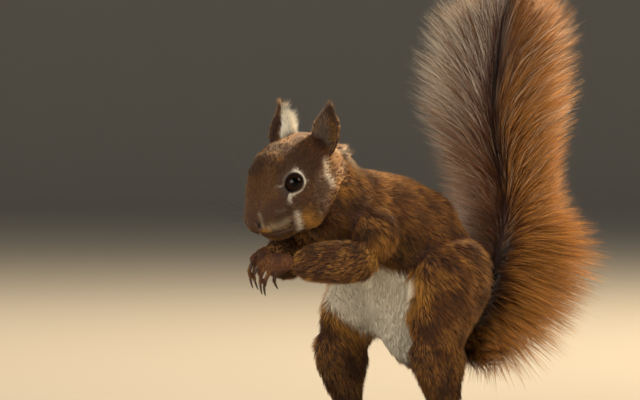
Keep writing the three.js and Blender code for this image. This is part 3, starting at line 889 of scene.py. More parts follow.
def hollow_ears(points, triangles, labels):
    """Deepens the bowl of each ear on its front."""
    normals = vertex_normals(points, triangles)
    up_ear, aside, forward = in_ears(points, normals, labels)
    bowl = np.exp(-(((aside - 0.5) / 4.0) ** 2)) * ramp(up_ear, 0.02, 0.2) * (1 - ramp(up_ear, 0.6, 0.95))
    return points - normals * (EAR_BOWL * bowl * forward)[:, None]


def trunk_direction(points):
    """The way back along the trunk's middle line, beside each point."""
    shares = np.linspace(0, 1, 60)
    line = smooth_line([(0, *at) for at in TRUNK_LINE], shares) + PLAN
    along = unit(np.gradient(line, axis=0))
    nearest = np.linalg.norm(points[:, None, 1:] - line[None, :, 1:], axis=2).argmin(1)
    return along[nearest]


def lie_of_coat(points, normals, labels, web, marks):
    """The direction in which the hair runs over the skin."""
    side = np.where(points[:, 0] > MIDDLE_X, 1.0, -1.0)
    lie = trunk_direction(points) - np.array((0, 0, 0.35)) * np.abs(normals[:, :1])
    flips = np.stack((side, np.ones(len(side)), np.ones(len(side))), 1)
    for name, way in LIES.items():
        here = is_part(labels, name)
        lie[here] = np.array(way) * flips[here]
    head = is_part(labels, "head")
    lie[head] = unit(points[head] - from_head(NOSE_TIP)) - 0.25 * HEAD_AHEAD
    for ear_side, sign in SIDES.items():
        root, tip = ear_ends(ear_side)
        ear = is_part(labels, "ear") & (side == sign)
        lie[ear] = unit(tip - root)
    lie = web.blur(unit(lie), 10)
    lie = lie + marks["fluff"][:, None] * (np.array((-0.85, 0.1, 0.55)) * flips - lie)
    lie = lie + marks["tuft"][:, None] * np.array((0, 0.7, 0))
    for eye_side in SIDES:
        distance, _, beyond, _, _, outwards = eye_view(points, eye_side)
        near = ((distance < EYE_RADIUS + 6) * (1 - ramp(beyond, 8, 34)))[:, None]
        lie = lie * (1 - near) + outwards * near
    return laid_flat(lie, normals)


# ---- markings

# Half the width of the white of the belly at each height, narrowing down between the legs
# and up to the throat.
WHITE_HEIGHTS = (31, 37, 41, 47, 50, 56, 62, 66, 72, 76, 80, 84, 90, 100)
WHITE_HALVES = (1, 6, 11, 15, 17, 20, 26, 29, 29, 26, 15, 4, -4, -8)
WHITE_MIDDLE_X = -2.0
# How far back the trunk is, by height.
TRUNK_MIDDLES = ((30, 55, 77, 95, 104, 114), (15, 20, 20, 9, -13, -46))

# Streaks and patches of the face, on the left of the head: mark, line, reach and strength.
FACE_STREAKS = [
    ("pale", [(5.4, 22.3, -4.7), (6.2, 23.2, -8.6), (5.7, 23.5, -11.8)], 0.7, 0.6),
    ("buff", [(5.1, 22.9, -13.8), (6.0, 21.8, -14.4)], 1.6, 0.8),
    ("pale", [(7.2, 20.8, -13.3), (9.6, 16.5, -14.6), (11.0, 12.8, -14.0)], 2.0, 0.65),
    ("pale", [(10.4, 16.2, -7.6), (12.0, 12.4, -8.4)], 1.0, 0.35),
    ("cream", [(14.2, 8.5, -12.6), (13.4, 8.2, -17.1), (9.5, 7.2, -22.8)], 1.2, 0.5),
    ("buff", [(14.8, 4.0, -17.3), (13.1, 0.0, -21.9), (9.8, -1.6, -26.4)], 3.5, 0.95),
    ("buff", [(0.0, 15.0, -23.0), (4.0, 12.0, -23.0)], 3.0, 0.5),
    ("cream", [(18.8, -17.5, 2.5), (19.0, -14.9, -2.6), (19.2, -13.9, -5.3), (19.0, -15.2, -10.5)], 1.2, 0.5),
    ("dusk", [(19.0, -18.6, 0.0), (18.8, -18.2, -9.0)], 1.0, 0.6),
    ("buff", [(18.5, -20.0, -11.9), (18.2, -21.0, -19.1)], 3.0, 0.8),
    # These two streaks behind the head are painted rim light along the nape's outline.
    ("buff", [(18.0, -23.0, -1.0), (15.8, -32.0, -4.6), (15.6, -35.8, -12.3)], 4.5, 0.6),
    ("cream", [(14.0, -27.0, 2.0), (9.9, -35.3, -0.9), (13.9, -37.3, -8.7)], 3.0, 0.3),
    ("dusk", [(9.5, 17.8, -9.7), (15.2, 7.2, -9.9)], 0.5, 0.8),
    ("dusk", [(9.2, 18.0, -8.1), (14.6, 8.0, -8.2)], 0.45, 0.5),
    ("dusk", [(8.8, 18.4, -11.4), (13.8, 9.0, -12.0)], 0.45, 0.55),
]
LOCK_SIZES = np.array((7.0, 6.0, 9.0))  # mm across the brighter and duller locks of the coat
DULL_LOCKS = 0.5  # how much darker the dull ones are
# The pale hair in the ears is painted near-white, partly its own colour and partly painted backlight glow.
EAR_FLUFF = {"left": 0.06, "right": 1.0}  # how much pale hair grows in each ear
EAR_TUFT = 3.5  # mm that the hair at an ear's tip is longer by
LASH_LENGTH = 1.0  # mm: the hair next to the eyes


def markings(points, flat, normals, labels, web, tree, lines):
    """The coat's colour marks at each point, from 0 to 1, some of them painted light and shade. flat holds
    the points before the face was cut.
    """
    marks = {name: np.zeros(len(points)) for name in MARKS}
    head = mirrored(on_head(flat))
    ahead, up = head[:, 1], head[:, 2]
    is_head = web.blur(is_part(labels, "head").astype(float), 6)
    is_ear = web.blur(is_part(labels, "ear").astype(float), 2)
    x, y, z = (points - PLAN).T
    half = np.interp(z, WHITE_HEIGHTS, WHITE_HALVES, left=-8, right=-8)
    wander = np.array([noise.noise(Vector(point) / 7) for point in points]) * 1.6
    front = ramp(np.interp(z, *TRUNK_MIDDLES) - y, 2, 12)
    inside = half - np.abs(x - WHITE_MIDDLE_X) + wander
    off_head = 1 - web.blur(is_part(labels, "upper_arm", "forearm", "hand", "head").astype(float), 3)
    marks["cream"] = ramp(inside, -0.6, 1.6) * front * off_head
    marks["buff"] = np.exp(-(((inside + 2.6) / 3.4) ** 2)) * front * off_head * 0.85
    marks["olive"] = is_head * ramp(ahead, -22, -4) * 0.9
    marks["rust"] = web.blur(part_values(labels, "rust"), 12)
    # Painted light: a pale buff streak on the elbow, where light shines through its fur.
    elbow_glow = bell(mirrored(points - PLAN), (30.5, -39, 87), (5, 6, 8)) * 0.8
    marks["buff"] = np.maximum(marks["buff"], elbow_glow)
    # Painted shade: the hollow between the upper arm and the chest is darkened.
    armpit_shade = bell(mirrored(points - PLAN), (21, -15, 91), 9) * 0.85
    crown = is_head * ramp(up, 6, 14) * ramp(-ahead, -12, 8) * 0.35
    nose = bell(head, NOSE_PAD, (2.2, 2.2, 2.0)) * 0.5
    locks = np.array([noise.noise(Vector(point / LOCK_SIZES)) for point in points])
    dull = DULL_LOCKS * ramp(-locks, 0.0, 0.4) * (1 - marks["cream"]) * (1 - 0.5 * is_head)
    marks["dusk"] = np.maximum.reduce((armpit_shade, crown, nose, dull))
    for name, line, reach, strength in FACE_STREAKS:
        streak = strength * np.exp(-((line_distance(head, drawn_on(tree, line)) / reach) ** 2))
        marks[name] = np.maximum(marks[name], streak)
    up_ear, aside, forward = in_ears(points, normals, labels)
    grown = np.where(points[:, 0] > MIDDLE_X, *EAR_FLUFF.values())
    fluff = grown * is_ear * ramp(-aside, 0.5, 3.5) * ramp(up_ear, 0.02, 0.2) * (1 - ramp(up_ear, 0.85, 1.0))
    # Painted rim light: each ear's outer edge is painted buff.
    edge = is_ear * ramp(aside, 5.0, 7.0)
    bowl = is_ear * forward * (1 - edge) * (1 - fluff)
    # Painted backlight glow: the ear fluff is painted cream.
    marks["cream"] = np.maximum(marks["cream"], fluff)
    marks["rust"] = np.maximum(marks["rust"], bowl)
    marks["dusk"] = np.maximum.reduce((marks["dusk"], 0.45 * is_ear * (1 - forward) * (1 - edge), 0.5 * bowl))
    marks["buff"] = np.maximum(marks["buff"] * (1 - bowl), edge * 0.9)
    black = np.zeros(len(points))
    for side in SIDES:
        distance, _, beyond, *_ = eye_view(points, side)
        near = (distance < EYE_RADIUS + 4) * 1.0
        black = np.maximum(black, near * (1 - ramp(beyond, 0.4, 1.8)))
        # The eye's pale ring is its own colour; it is painted brighter and wider towards the rear and below
        # as painted light.
        rear = np.maximum(ramp(-ahead, -1.5, 3.0), 0.7 * ramp(-up, 1.5, 4.5))
        ring = (1 - ramp(distance, EYE_RADIUS + 1.6, EYE_RADIUS + 2.4)) * ramp(beyond, 1.6, 3.6)
        ring *= (1 - ramp(beyond - 10 * rear, 6, 10)) * (1 - ramp(bell(head, EYE_CORNER, 4.5), 0.15, 0.6))
        marks["cream"] = np.maximum(marks["cream"], ring * (0.15 + 0.85 * rear))
        marks["pale"] = np.maximum(marks["pale"], ring * 0.5 * (1 - rear))
    # Painted shade: near-black in the nostrils and in the creases of the mouth and before the eye.
    for name, reach in SHADED_GROOVES.items():
        black = np.maximum(black, ramp(-line_distance(head, lines[name]), -reach * 1.3, -reach * 0.6))
    # Painted glints: golden hair tips, partly the hair's own banding, brighter in the bright locks and fewer
    # on the face.
    glint = 1 - 0.4 * web.blur((is_head > 0.5) * ramp(ahead, -24, -8), 4)
    glint *= 0.25 + 0.75 * ramp(locks, -0.25, 0.3)
    marks["glint"] = glint * (1 - marks["cream"]) * (1 - 0.7 * marks["pale"])
    marks["black"] = black
    marks["fluff"] = fluff
    marks["tuft"] = is_ear * ramp(up_ear, 0.84, 0.98)
    return {name: np.clip(values, 0, 1) for name, values in marks.items()}


def bare_skin(points, flat, normals, labels, lines):
    """Where no hair grows: within the lids, in the dark lines of the face, and on palms and soles."""
    head = mirrored(on_head(flat))
    bare = np.zeros(len(points))
    for name, reach in SHADED_GROOVES.items():
        bare = np.maximum(bare, ramp(-line_distance(head, lines[name]), -reach * 1.5, -reach * 1.1))
    for side in SIDES:
        distance, _, beyond, *_ = eye_view(points, side)
        bare = np.maximum(bare, (distance < EYE_RADIUS + 3) * (1 - ramp(beyond, 1.5, 3.0)))
    bare = np.maximum(bare, is_part(labels, "foot") * ramp(-normals[:, 2], 0.4, 0.8))
    return np.maximum(bare, is_part(labels, "hand") * ramp(normals[:, 1], 0.5, 0.8))


def coat_sizes(points, labels, web, marks):
    """The length, width and lift of the tufts, and how close together they stand."""
    sizes = {name: web.blur(part_values(labels, name), 20) for name in ("length", "width", "lift", "density")}
    nose_gap = np.linalg.norm(points - from_head(NOSE_TIP), axis=1)
    sizes["length"] *= 0.3 + 0.7 * ramp(nose_gap, 3, 32)
    sizes["width"] *= 0.75 + 0.25 * ramp(nose_gap, 3, 26)
    sizes["density"] *= 1.9 - 0.9 * ramp(nose_gap, 5, 28)
    nape = bell(mirrored(on_head(points)), (8, -31, -6), (15, 8, 9))
    sizes["length"] += nape
    sizes["lift"] *= 1 - 0.4 * nape
    belly = marks["cream"] * (nose_gap > 45)
    sizes["length"] *= 1 - 0.3 * belly
    sizes["width"] *= 1 - 0.2 * belly
    sizes["density"] *= 1 + 0.3 * belly
    sizes["length"] += 5.5 * marks["fluff"]
    sizes["lift"] += 20 * marks["fluff"]
    sizes["width"] *= 1 - 0.2 * marks["fluff"]
    sizes["density"] *= 1 - 0.4 * marks["fluff"]
    sizes["length"] += EAR_TUFT * marks["tuft"]
    for side in SIDES:
        distance, _, beyond, *_ = eye_view(points, side)
        near = (distance < EYE_RADIUS + 5) * (1 - ramp(beyond, 8, 40))
        sizes["length"] = sizes["length"] * (1 - near) + LASH_LENGTH * near
        sizes["width"] *= 1 - 0.3 * near
        sizes["lift"] *= 1 - 0.3 * near
        sizes["density"] *= 1 + 1.2 * near
    return sizes


def make_skin():
    """The skin, with what the coat needs kept on it."""
    mesh = join_flesh()
    points, triangles = arrays_of(mesh)
    bpy.data.meshes.remove(mesh)
    web = Web(len(points), triangles)
    labels = parts_at(points)
    head = mirrored(on_head(points))
    behind_head = bell(head, (8, -26, -8), (18, 9, 16))
    points = soften(points, web, web.blur(part_values(labels, "soft"), 4) + 30 * behind_head)
    depth = web.blur(part_values(labels, "depth"), 10)
    swell = np.array([SWELL.get(name, SWELL_ELSEWHERE) for name in PART_NAMES])[labels]
    swell[is_part(labels, "tail")] = 0
    nose_gap = np.linalg.norm(points - from_head(NOSE_TIP), axis=1)
    depth = depth * (0.4 + 0.6 * ramp(nose_gap, 2, 22)) * (1 - 0.8 * behind_head)
    points = sink(points, triangles, web, depth + web.blur(swell, 4))
    points = iron(points, web, web.blur(1.0 - is_part(labels, *SMALL_PARTS), 2))
    flat = hollow_ears(points, triangles, labels)
    tree = search_tree(flat, triangles)
    lines = {name: drawn_on(tree, line) for name, line in FACE_LINES.items()}
    points = sculpt_face(flat, triangles, lines)
    for side in SIDES:
        points = seat_eye(points, side)
    normals = vertex_normals(points, triangles)
    skin = mesh_of("skin", points, triangles)
    marks = markings(points, flat, normals, labels, web, tree, lines)
    set_values(skin, "part", labels.astype(float))
    set_values(skin, "lie", lie_of_coat(points, normals, labels, web, marks))
    set_values(skin, "bare", bare_skin(points, flat, normals, labels, lines))
    for name, values in {**coat_sizes(points, labels, web, marks), **marks}.items():
        set_values(skin, name, values)
    return skin


# ------------------------------------------------------------------ tufts


def tuft_shape(rings):
    """One closed tuft from z = 0 to 1, three-sided and drawn to a point at both ends."""
    body = bmesh.new()
    upright = Matrix.Translation((0, 0, 0.5))
    bmesh.ops.create_uvsphere(body, u_segments=3, v_segments=rings + 1, radius=0.5, matrix=upright)
    bmesh.ops.triangulate(body, faces=body.faces)
    bmesh.ops.recalc_face_normals(body, faces=body.faces)
    body.verts.index_update()
    points = np.array([vertex.co for vertex in body.verts])
    triangles = np.array([[vertex.index for vertex in face.verts] for face in body.faces])
    body.free()
    return points, triangles


PATCH = 0.003  # a tuft's size on the map of its ground
TUFT_FLATNESS = 0.55


def fullness(along):
    """A tuft's width along its length: full near the root, then drawn out to a point."""
    return np.where((along < 0.001) | (along > 0.999), 0.0, (1 - along) ** 0.65)


def make_tufts(name, shape, roots, bends, tips, normals, widths, map_places, kept_values):
    """One mesh of many tufts. Each follows a curve from its root by way of its bend to its tip."""
    pattern, faces = shape
    along = np.clip(pattern[:, 2], 0, 1) ** 1.4
    section = unit(pattern[:, :2]) * fullness(along)[:, None] * 0.5
    t = along[None, :, None]
    a, b, c = roots[:, None], bends[:, None], tips[:, None]
    curve = (1 - t) ** 2 * a + 2 * t * (1 - t) * b + t**2 * c
    heading = unit(2 * (1 - t) * (b - a) + 2 * t * (c - b))
    across = unit(np.cross(tips - roots, normals))[:, None]
    lift = np.cross(across, heading)
    size = widths[:, None, None]
    points = curve + across * section[None, :, :1] * size + lift * section[None, :, 1:] * size * TUFT_FLATNESS
    count, per = len(roots), len(pattern)
    triangles = (np.arange(count)[:, None, None] * per + faces[None]).reshape(-1, 3)
    mesh = mesh_of(name, points.reshape(-1, 3), triangles)
    set_values(mesh, "along", np.tile(along, count))
    for key, values in kept_values.items():
        set_values(mesh, key, np.repeat(values, per))
    patch = np.stack((pattern[:, 0], along - 0.5), 1) * PATCH
    places = (map_places[:, None] + patch[None])[:, faces.ravel()].reshape(-1, 2)
    layer = mesh.uv_layers.new(name="OFBake")
    layer.data.foreach_set("uv", np.clip(places, 0, 1).astype(np.float32).ravel())
    return mesh


def ground_map(points, triangles):
    """An unwrap of a stretch of skin: each triangle's three places on it."""
    mesh = mesh_of("ground", points, triangles)
    ground = add_to_scene("ground", mesh)
    bpy.context.view_layer.objects.active = ground
    ground.select_set(True)
    mesh.uv_layers.new(name="OFBake")
    bpy.ops.object.mode_set(mode="EDIT")
    bpy.ops.mesh.select_all(action="SELECT")
    bpy.ops.uv.smart_project(angle_limit=math.radians(66), island_margin=0.004)
    bpy.ops.object.mode_set(mode="OBJECT")
    places = np.empty(len(mesh.loops) * 2)
    mesh.uv_layers["OFBake"].data.foreach_get("uv", places)
    bpy.data.objects.remove(ground)
    bpy.data.meshes.remove(mesh)
    return places.reshape(-1, 3, 2)


def scatter(rng, points, triangles, density):
    """Roots spread over triangles: which triangle each is on, and its shares of the three corners."""
    corners = points[triangles]
    flat = np.cross(corners[:, 1] - corners[:, 0], corners[:, 2] - corners[:, 0])
    wanted = np.linalg.norm(flat, axis=1) / 2 * density[triangles].mean(1)
    number = (wanted + rng.random(len(wanted))).astype(int)
    face = np.repeat(np.arange(len(triangles)), number)
    first, second = np.sort(rng.random((2, len(face))), axis=0)
    return face, np.stack((first, second - first, 1 - second), 1)


def gathered(roots, tips, rng, spacing, pull):
    """Tips drawn towards the tip of the nearest of a few leading hairs, as locks are."""
    leaders = np.flatnonzero(rng.random(len(roots)) < 1 / spacing)
    tree = kdtree.KDTree(len(leaders))
    for index, leader in enumerate(leaders):
        tree.insert(Vector(roots[leader]), index)
    tree.balance()
    nearest = leaders[[tree.find(Vector(root))[1] for root in roots]]
    lead = roots[nearest] + (tips - roots)[nearest]
    return (lead - tips) * pull[:, None]


ROOTED = 0.25  # mm that a tuft starts below the skin
LOCK = 16  # hairs to a lock
LOCK_PULL = 0.4


def make_coat(name, parts, seed):
    """The tufts of one piece of the coat, rooted in the skin of the given parts."""
    settings, rng = settings_and_dice(seed)
    skin = bpy.data.objects["skin"].data
    points, triangles = arrays_of(skin)
    wanted = is_part(get_values(skin, "part").astype(int), *parts)
    mine = triangles[wanted[triangles[:, 0]]]
    used, mine_again = np.unique(mine, return_inverse=True)
    ground = mine_again.reshape(-1, 3)
    map_corners = ground_map(points[used], ground)
    density = (get_values(skin, "density") * (1 - get_values(skin, "bare")))[used] * settings.density
    face, share = scatter(rng, points[used], ground, density)

    def at_roots(values):
        return (values[used][ground[face]] * share.reshape(len(face), 3, *[1] * (values.ndim - 1))).sum(1)

    roots = at_roots(points)
    normals = unit(at_roots(vertex_normals(points, triangles)))
    lie = at_roots(get_values(skin, "lie"))
    length = at_roots(get_values(skin, "length")) * settings.length * rng.uniform(0.7, 1.2, len(face))
    width = at_roots(get_values(skin, "width")) * rng.uniform(0.75, 1.2, len(face))
    lift = np.radians(at_roots(get_values(skin, "lift")) * rng.uniform(0.5, 1.6, len(face)))
    stray = np.array([noise.noise_vector(Vector(root) / 9) for root in roots]) * 0.35
    stray += rng.normal(0, 0.13, stray.shape)
    lie = laid_flat(unit(lie + stray), normals)
    start = lie * np.cos(lift * 1.5)[:, None] + normals * np.sin(lift * 1.5)[:, None]
    end = lie * np.cos(lift * 0.35)[:, None] + normals * np.sin(lift * 0.35)[:, None]
    half = (length / 2)[:, None]
    bends = roots + start * half
    tips = bends + end * half
    pull = LOCK_PULL * rng.uniform(0.5, 1.3, len(face)) * ramp(length, 1.0, 4.0)
    moved = gathered(roots, tips, rng, LOCK, pull)
    kept_values = {key: at_roots(get_values(skin, key)) for key in (*MARKS, "glint")}
    # Painted glints fall on some hairs and not on others.
    kept_values["glint"] *= rng.random(len(face)) ** 0.6
    kept_values["chance"] = rng.random(len(face))
    map_places = (map_corners[face] * share[:, :, None]).sum(1)
    mesh = make_tufts(
        name, tuft_shape(1), roots - normals * ROOTED, bends + moved * 0.3, tips + moved, normals,
        width, map_places, kept_values,
    )
    return show(name, mesh, material_named("guard_hair_with_golden_tips", coat_material))


# ------------------------------------------------------------------ tail


# The lengths of the tail: where each starts and ends as a share of the whole, and how many hairs it has.
TAIL_LENGTHS = {
    "tail_base": (0, 0.24, 10200),
    "tail_lower": (0.24, 0.47, 10400),
    "tail_upper": (0.47, 0.7, 9800),
    "tail_tip": (0.7, 1, 10600),
}
# How much nearer to the tail's root a hair starts than it ends, at shares of the tail's line.
TAIL_SHARES = (0.0, 0.15, 0.3, 0.5, 0.8, 1.0)
TAIL_REACHES = (-0.03, -0.02, 0.02, 0.08, 0.13, 0.16)
TAIL_LOCK = 9  # hairs to a lock
INNER_HAIR = 0.36  # the share of the hairs that end inside the brush
# Pale tips, as painted glints, on this share of the hairs at the upper left, and on a few more higher up.
PALE_SHARE = 0.6  # of the hairs at the upper left
FEW_PALE = 0.12  # of the hairs everywhere higher up
TAIL_OVERHANG = 9.0  # mm that the hair may stand out of the solids' box
WISPS = 0.08  # the share of the tail's hairs that stand out past the rest


def make_tail_hair(name, start, end, count, seed):
    """The long hair whose tips end on one length of the tail."""
    settings, rng = settings_and_dice(seed)
    count = int(count * settings.density)
    tip_share = rng.uniform(start, end, count)
    reach = np.interp(tip_share, TAIL_SHARES, TAIL_REACHES) * rng.uniform(0.75, 1.3, count)
    root_share = np.clip(tip_share - reach, 0.0, TAIL_BONE_ENDS)
    across = rng.uniform(-1, 1, count)
    across = np.sign(across) * np.abs(across) ** 0.6
    deep = rng.choice((-1, 1), count) * (1 - np.abs(across) ** 3) ** 0.667 * rng.uniform(0.1, 1.0, count)
    out = np.where(
        rng.random(count) < INNER_HAIR, rng.uniform(0.4, 0.88, count), rng.uniform(0.86, 1.03, count),
    )
    out = np.where(rng.random(count) < WISPS, rng.uniform(1.0, 1.08, count), out)
    at, along, left, behind, sizes = tail_frames(tip_share)
    wide = np.where(across > 0, sizes[:, 0], sizes[:, 1])
    thick = np.where(deep > 0, sizes[:, 3], sizes[:, 2])
    ending = np.sqrt(np.clip(1 - np.clip((tip_share - 0.86) / 0.14, 0, 1) ** 2, 0.02, 1))
    tips = at + (left * (across * wide)[:, None] + behind * (deep * thick)[:, None]) * (out * ending)[:, None]
    tips = tips + along * rng.normal(0, 1.5, count)[:, None]
    low, high = (np.array(corner) / MM for corner in CAD_BOX)
    tips = np.clip(tips, low - TAIL_OVERHANG, high + TAIL_OVERHANG)
    core, core_along, core_left, core_behind, _ = tail_frames(root_share)
    radius = np.interp(root_share, (0, TAIL_BONE_ENDS), TAIL_CORE) * 0.8
    spoke = unit(core_left * across[:, None] + core_behind * deep[:, None])
    roots = core + spoke * radius[:, None]
    span = np.linalg.norm(tips - roots, axis=1)
    bends = roots + (core_along * 0.5 + spoke * 0.5) * (span * 0.42)[:, None]
    bends += np.array([noise.noise_vector(Vector(tip) / 16) for tip in tips]) * 3.0
    moved = gathered(tips, tips, rng, TAIL_LOCK, 0.45 * rng.uniform(0.3, 1.2, count))
    height = at[:, 2]
    # Painted highlight: pale tips stand in for sun glints.
    paler = ramp(-across, -0.3, 0.4) * ramp(height, 138, 192) * (rng.random(count) < PALE_SHARE)
    few = ramp(height, 90, 170) * (rng.random(count) < FEW_PALE)
    # Painted side light: golden tips lie on all the hair, much more on the tail's left side and less towards
    # the top.
    golden = 0.35 + 0.65 * ramp(across, -0.3, 0.4) * (1 - 0.6 * ramp(height, 165, 220))
    kept_values = {
        "chance": rng.random(count),
        "dark": np.exp(-((across / 0.2) ** 2)) * (deep < 0) * rng.uniform(0.3, 0.9, count),
        "silver": np.maximum(paler, few) * rng.uniform(0.5, 1.0, count),
        "gold": golden * rng.uniform(0.4, 1, count),
    }
    map_places = np.stack((across * 0.49 + 0.5, root_share * 0.98 + 0.01), 1)
    mesh = make_tufts(
        name, tuft_shape(2), roots, bends, tips + moved, behind,
        settings.tail_hair_width / MM * rng.uniform(0.7, 1.25, count), map_places, kept_values,
    )
    return show(name, mesh, material_named("long_tail_hair", tail_material))


# ------------------------------------------------------------------ eyes, claws and whiskers


def make_eye(side):
    """One smooth eyeball, with its pole where it looks."""
    body = bmesh.new()
    looks = Vector((EYE_LOOKS * (SIDES[side], 1, 1)) @ HEAD_AXES)
    turn = looks.to_track_quat("Z", "Y").to_matrix().to_4x4()
    place = Matrix.Translation(Vector(EYES[side] * MM)) @ turn
    bmesh.ops.create_uvsphere(body, u_segments=48, v_segments=32, radius=EYE_RADIUS * MM, matrix=place)
    mesh = mesh_from(body, "eyeball_" + side)
    mesh.shade_smooth()
    away = unit(np.array([vertex.co for vertex in mesh.vertices]) / MM - EYES[side])
    set_values(mesh, "turned", np.arccos(np.clip(away @ np.array(looks), -1, 1)) / (math.pi / 2))
    piece = show("eyeball_" + side, mesh, material_named("wet_dark_eye", eye_material))
    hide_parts("eye_" + side)


CLAW_ROOTED = 1.3  # mm that a claw goes on into its digit
CLAW_ROOT_SHARE = 0.7  # of its length from the tip, past which it is drawn in


def add_claw(body, node):
    """Adds a claw's solid, with its root drawn back into the digit."""
    solid = merged_copy(node)
    points = np.array([vertex.co for vertex in solid.verts])
    limb = middle_of(node.replace("claw_fore", "hand").replace("claw_hind", "foot")[:-2]) * MM
    tip = points[np.linalg.norm(points - limb, axis=1).argmax()]
    gap = np.linalg.norm(points - tip, axis=1)
    rooted = gap > CLAW_ROOT_SHARE * gap.max()
    inwards = unit(points[rooted].mean(0) - tip) * CLAW_ROOTED * MM
    bmesh.ops.translate(solid, vec=inwards, verts=[vert for vert, deep in zip(solid.verts, rooted) if deep])
    pour_in(body, solid)


def make_claws(limb, side):
    """The claws of one hand or foot, rounded from their solids."""
    nodes = sorted(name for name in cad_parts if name.startswith(f"claw_{limb}_{side}_"))
    body = bmesh.new()
    for node in nodes:
        add_claw(body, node)
    mesh = mesh_from(body, f"claws_{limb}_{side}")
    mesh.shade_smooth()
    piece = show(mesh.name, mesh, material_named("dark_claw_horn", claw_material))
    rounding = piece.modifiers.new("rounding", "SUBSURF")
    rounding.levels = rounding.render_levels = 1
    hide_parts(*nodes)


WHISKER_BEND = (0, 0.35, 0.12)
# Rows of whiskers: root on the left of the muzzle, length and the way it points, as left, ahead and up.
WHISKERS = [
    ((7.0, 20.5, -8.6), 30, (0.85, 0.62, 0.25)),
    ((8.0, 18.6, -8.0), 38, (0.9, 0.45, 0.35)),
    ((9.2, 16.4, -8.2), 44, (0.95, 0.2, 0.3)),
    ((10.2, 14.0, -8.6), 46, (0.95, 0.0, 0.25)),
    ((6.6, 20.4, -10.4), 28, (0.85, 0.6, -0.05)),
    ((8.0, 18.2, -10.2), 38, (0.92, 0.42, 0.05)),
    ((9.2, 15.8, -10.4), 45, (0.97, 0.15, 0.02)),
    ((10.4, 13.2, -10.8), 42, (0.95, -0.1, 0.0)),
    ((6.6, 19.6, -12.4), 26, (0.8, 0.6, -0.35)),
    ((8.0, 17.2, -12.4), 34, (0.9, 0.35, -0.3)),
    ((9.2, 14.8, -12.6), 36, (0.95, 0.1, -0.3)),
    ((11.8, 4.5, 8.6), 22, (0.5, 0.35, 0.8)),
    ((12.4, 3.0, 8.8), 18, (0.6, 0.1, 0.8)),
]


def make_whiskers():
    """Stiff whiskers on both sides of the muzzle and over the eyes, bending a little back."""
    settings, rng = settings_and_dice(WHISKER_SEED)
    roots, lengths, ways = (np.repeat(column, len(SIDES), axis=0) for column in zip(*WHISKERS))
    flips = np.array([(sign, 1, 1) for sign in SIDES.values()] * len(WHISKERS))
    ways = unit(ways + rng.normal(0, 0.05, ways.shape))
    lengths = lengths * rng.uniform(0.85, 1.05, len(lengths)) * settings.whisker_length
    roots = from_head(roots * flips)
    skin = bpy.data.objects["skin"].data
    points, triangles = arrays_of(skin)
    tree = search_tree(points, triangles)
    roots = np.array([tree.find_nearest(Vector(root))[0] for root in roots])
    ways = (ways * flips) @ HEAD_AXES
    bends = roots + ways * (lengths * 0.5)[:, None]
    tips = bends + unit(ways + WHISKER_BEND) * (lengths * 0.5)[:, None]
    normals = np.tile((0.0, 0.0, 1.0), (len(roots), 1))
    widths = np.full(len(roots), settings.whisker_width / MM)
    mesh = make_tufts(
        "whiskers", tuft_shape(7), roots - ways * 0.6, bends, tips, normals, widths,
        rng.uniform(0.1, 0.9, (len(roots), 2)), {"chance": rng.random(len(roots))},
    )
    return show("whiskers", mesh, material_named("stiff_whisker", whisker_material))


# ------------------------------------------------------------------ stage

VIEW_AZIMUTH = math.radians(46)
VIEW_ELEVATION = math.radians(1)
VIEW_DISTANCE = 2.4  # metres from the left eye
FRAME_WIDTH = 640
FRAME_HEIGHT = 400
EYE_IN_FRAME = (293.5, 182.5)  # where the left eye's middle is, in pixels from the frame's upper left
MM_PER_PIXEL = 0.48
SENSOR = 36.0


def look_from(item, way):
    """Turns a camera or lamp to look back along the way to it."""
    item.rotation_mode = "QUATERNION"
    item.rotation_quaternion = (-way).to_track_quat("-Z", "Y")


def make_camera():
    """A long lens at the height of the animal's head, to its front left."""
    back = from_azimuth(VIEW_AZIMUTH, VIEW_ELEVATION)
    right = Vector((math.cos(VIEW_AZIMUTH), math.sin(VIEW_AZIMUTH), 0))
    up = back.cross(right)
    data = bpy.data.cameras.new("camera")
    data.sensor_width = SENSOR
    data.lens = SENSOR * VIEW_DISTANCE / (FRAME_WIDTH * MM_PER_PIXEL * MM)
    data.clip_start, data.clip_end = 0.1, 50
    camera = add_to_scene("camera", data)
    aside = (FRAME_WIDTH / 2 - EYE_IN_FRAME[0]) * MM_PER_PIXEL * MM
    below = (FRAME_HEIGHT / 2 - EYE_IN_FRAME[1]) * MM_PER_PIXEL * MM
    camera.location = Vector(EYES["left"] * MM) + back * VIEW_DISTANCE + right * aside - up * below
    look_from(camera, back)
    bpy.context.scene.camera = camera


LAMPS_AIM = Vector((0, 0, 0.12))
# Soft lamps: azimuth and elevation in degrees, distance and width in metres, watts and colour.
LAMPS = {
    "front": (26, 10, 2.3, 1.4, 42, "#fff8ee"),
    "side": (108, 28, 2.2, 0.9, 18, "#fff0dc"),
    "rim": (-72, 16, 2.2, 0.6, 14, "#fff0d8"),
    "back": (176, 44, 2.2, 0.8, 100, "#ffe4bc"),
}


def from_azimuth(azimuth, elevation):
    """The direction towards an azimuth, which is 0 before the animal and 90 on its left, and an elevation."""
    return Vector((
        math.sin(azimuth) * math.cos(elevation),
        -math.cos(azimuth) * math.cos(elevation),
        math.sin(elevation),
    ))


def make_lamps():
    """Soft lamps aimed at the animal: a low one before it, and warmer ones from both sides and behind."""
    for name, (azimuth, elevation, distance, width, watts, colour) in LAMPS.items():
        data = bpy.data.lights.new(name, "AREA")
        data.shape = "DISK"
        data.size = width
        data.energy = watts
        data.color = linear(colour)[:3]
        lamp = add_to_scene(name, data)
        way = from_azimuth(math.radians(azimuth), math.radians(elevation))
        lamp.location = LAMPS_AIM + way * distance
        look_from(lamp, way)


# The studio sweep, in metres.
SWEEP_FLOOR = 6.0
SWEEP_CURVE = 1.5
SWEEP_WALL = 2.5
SWEEP_STEPS = 12


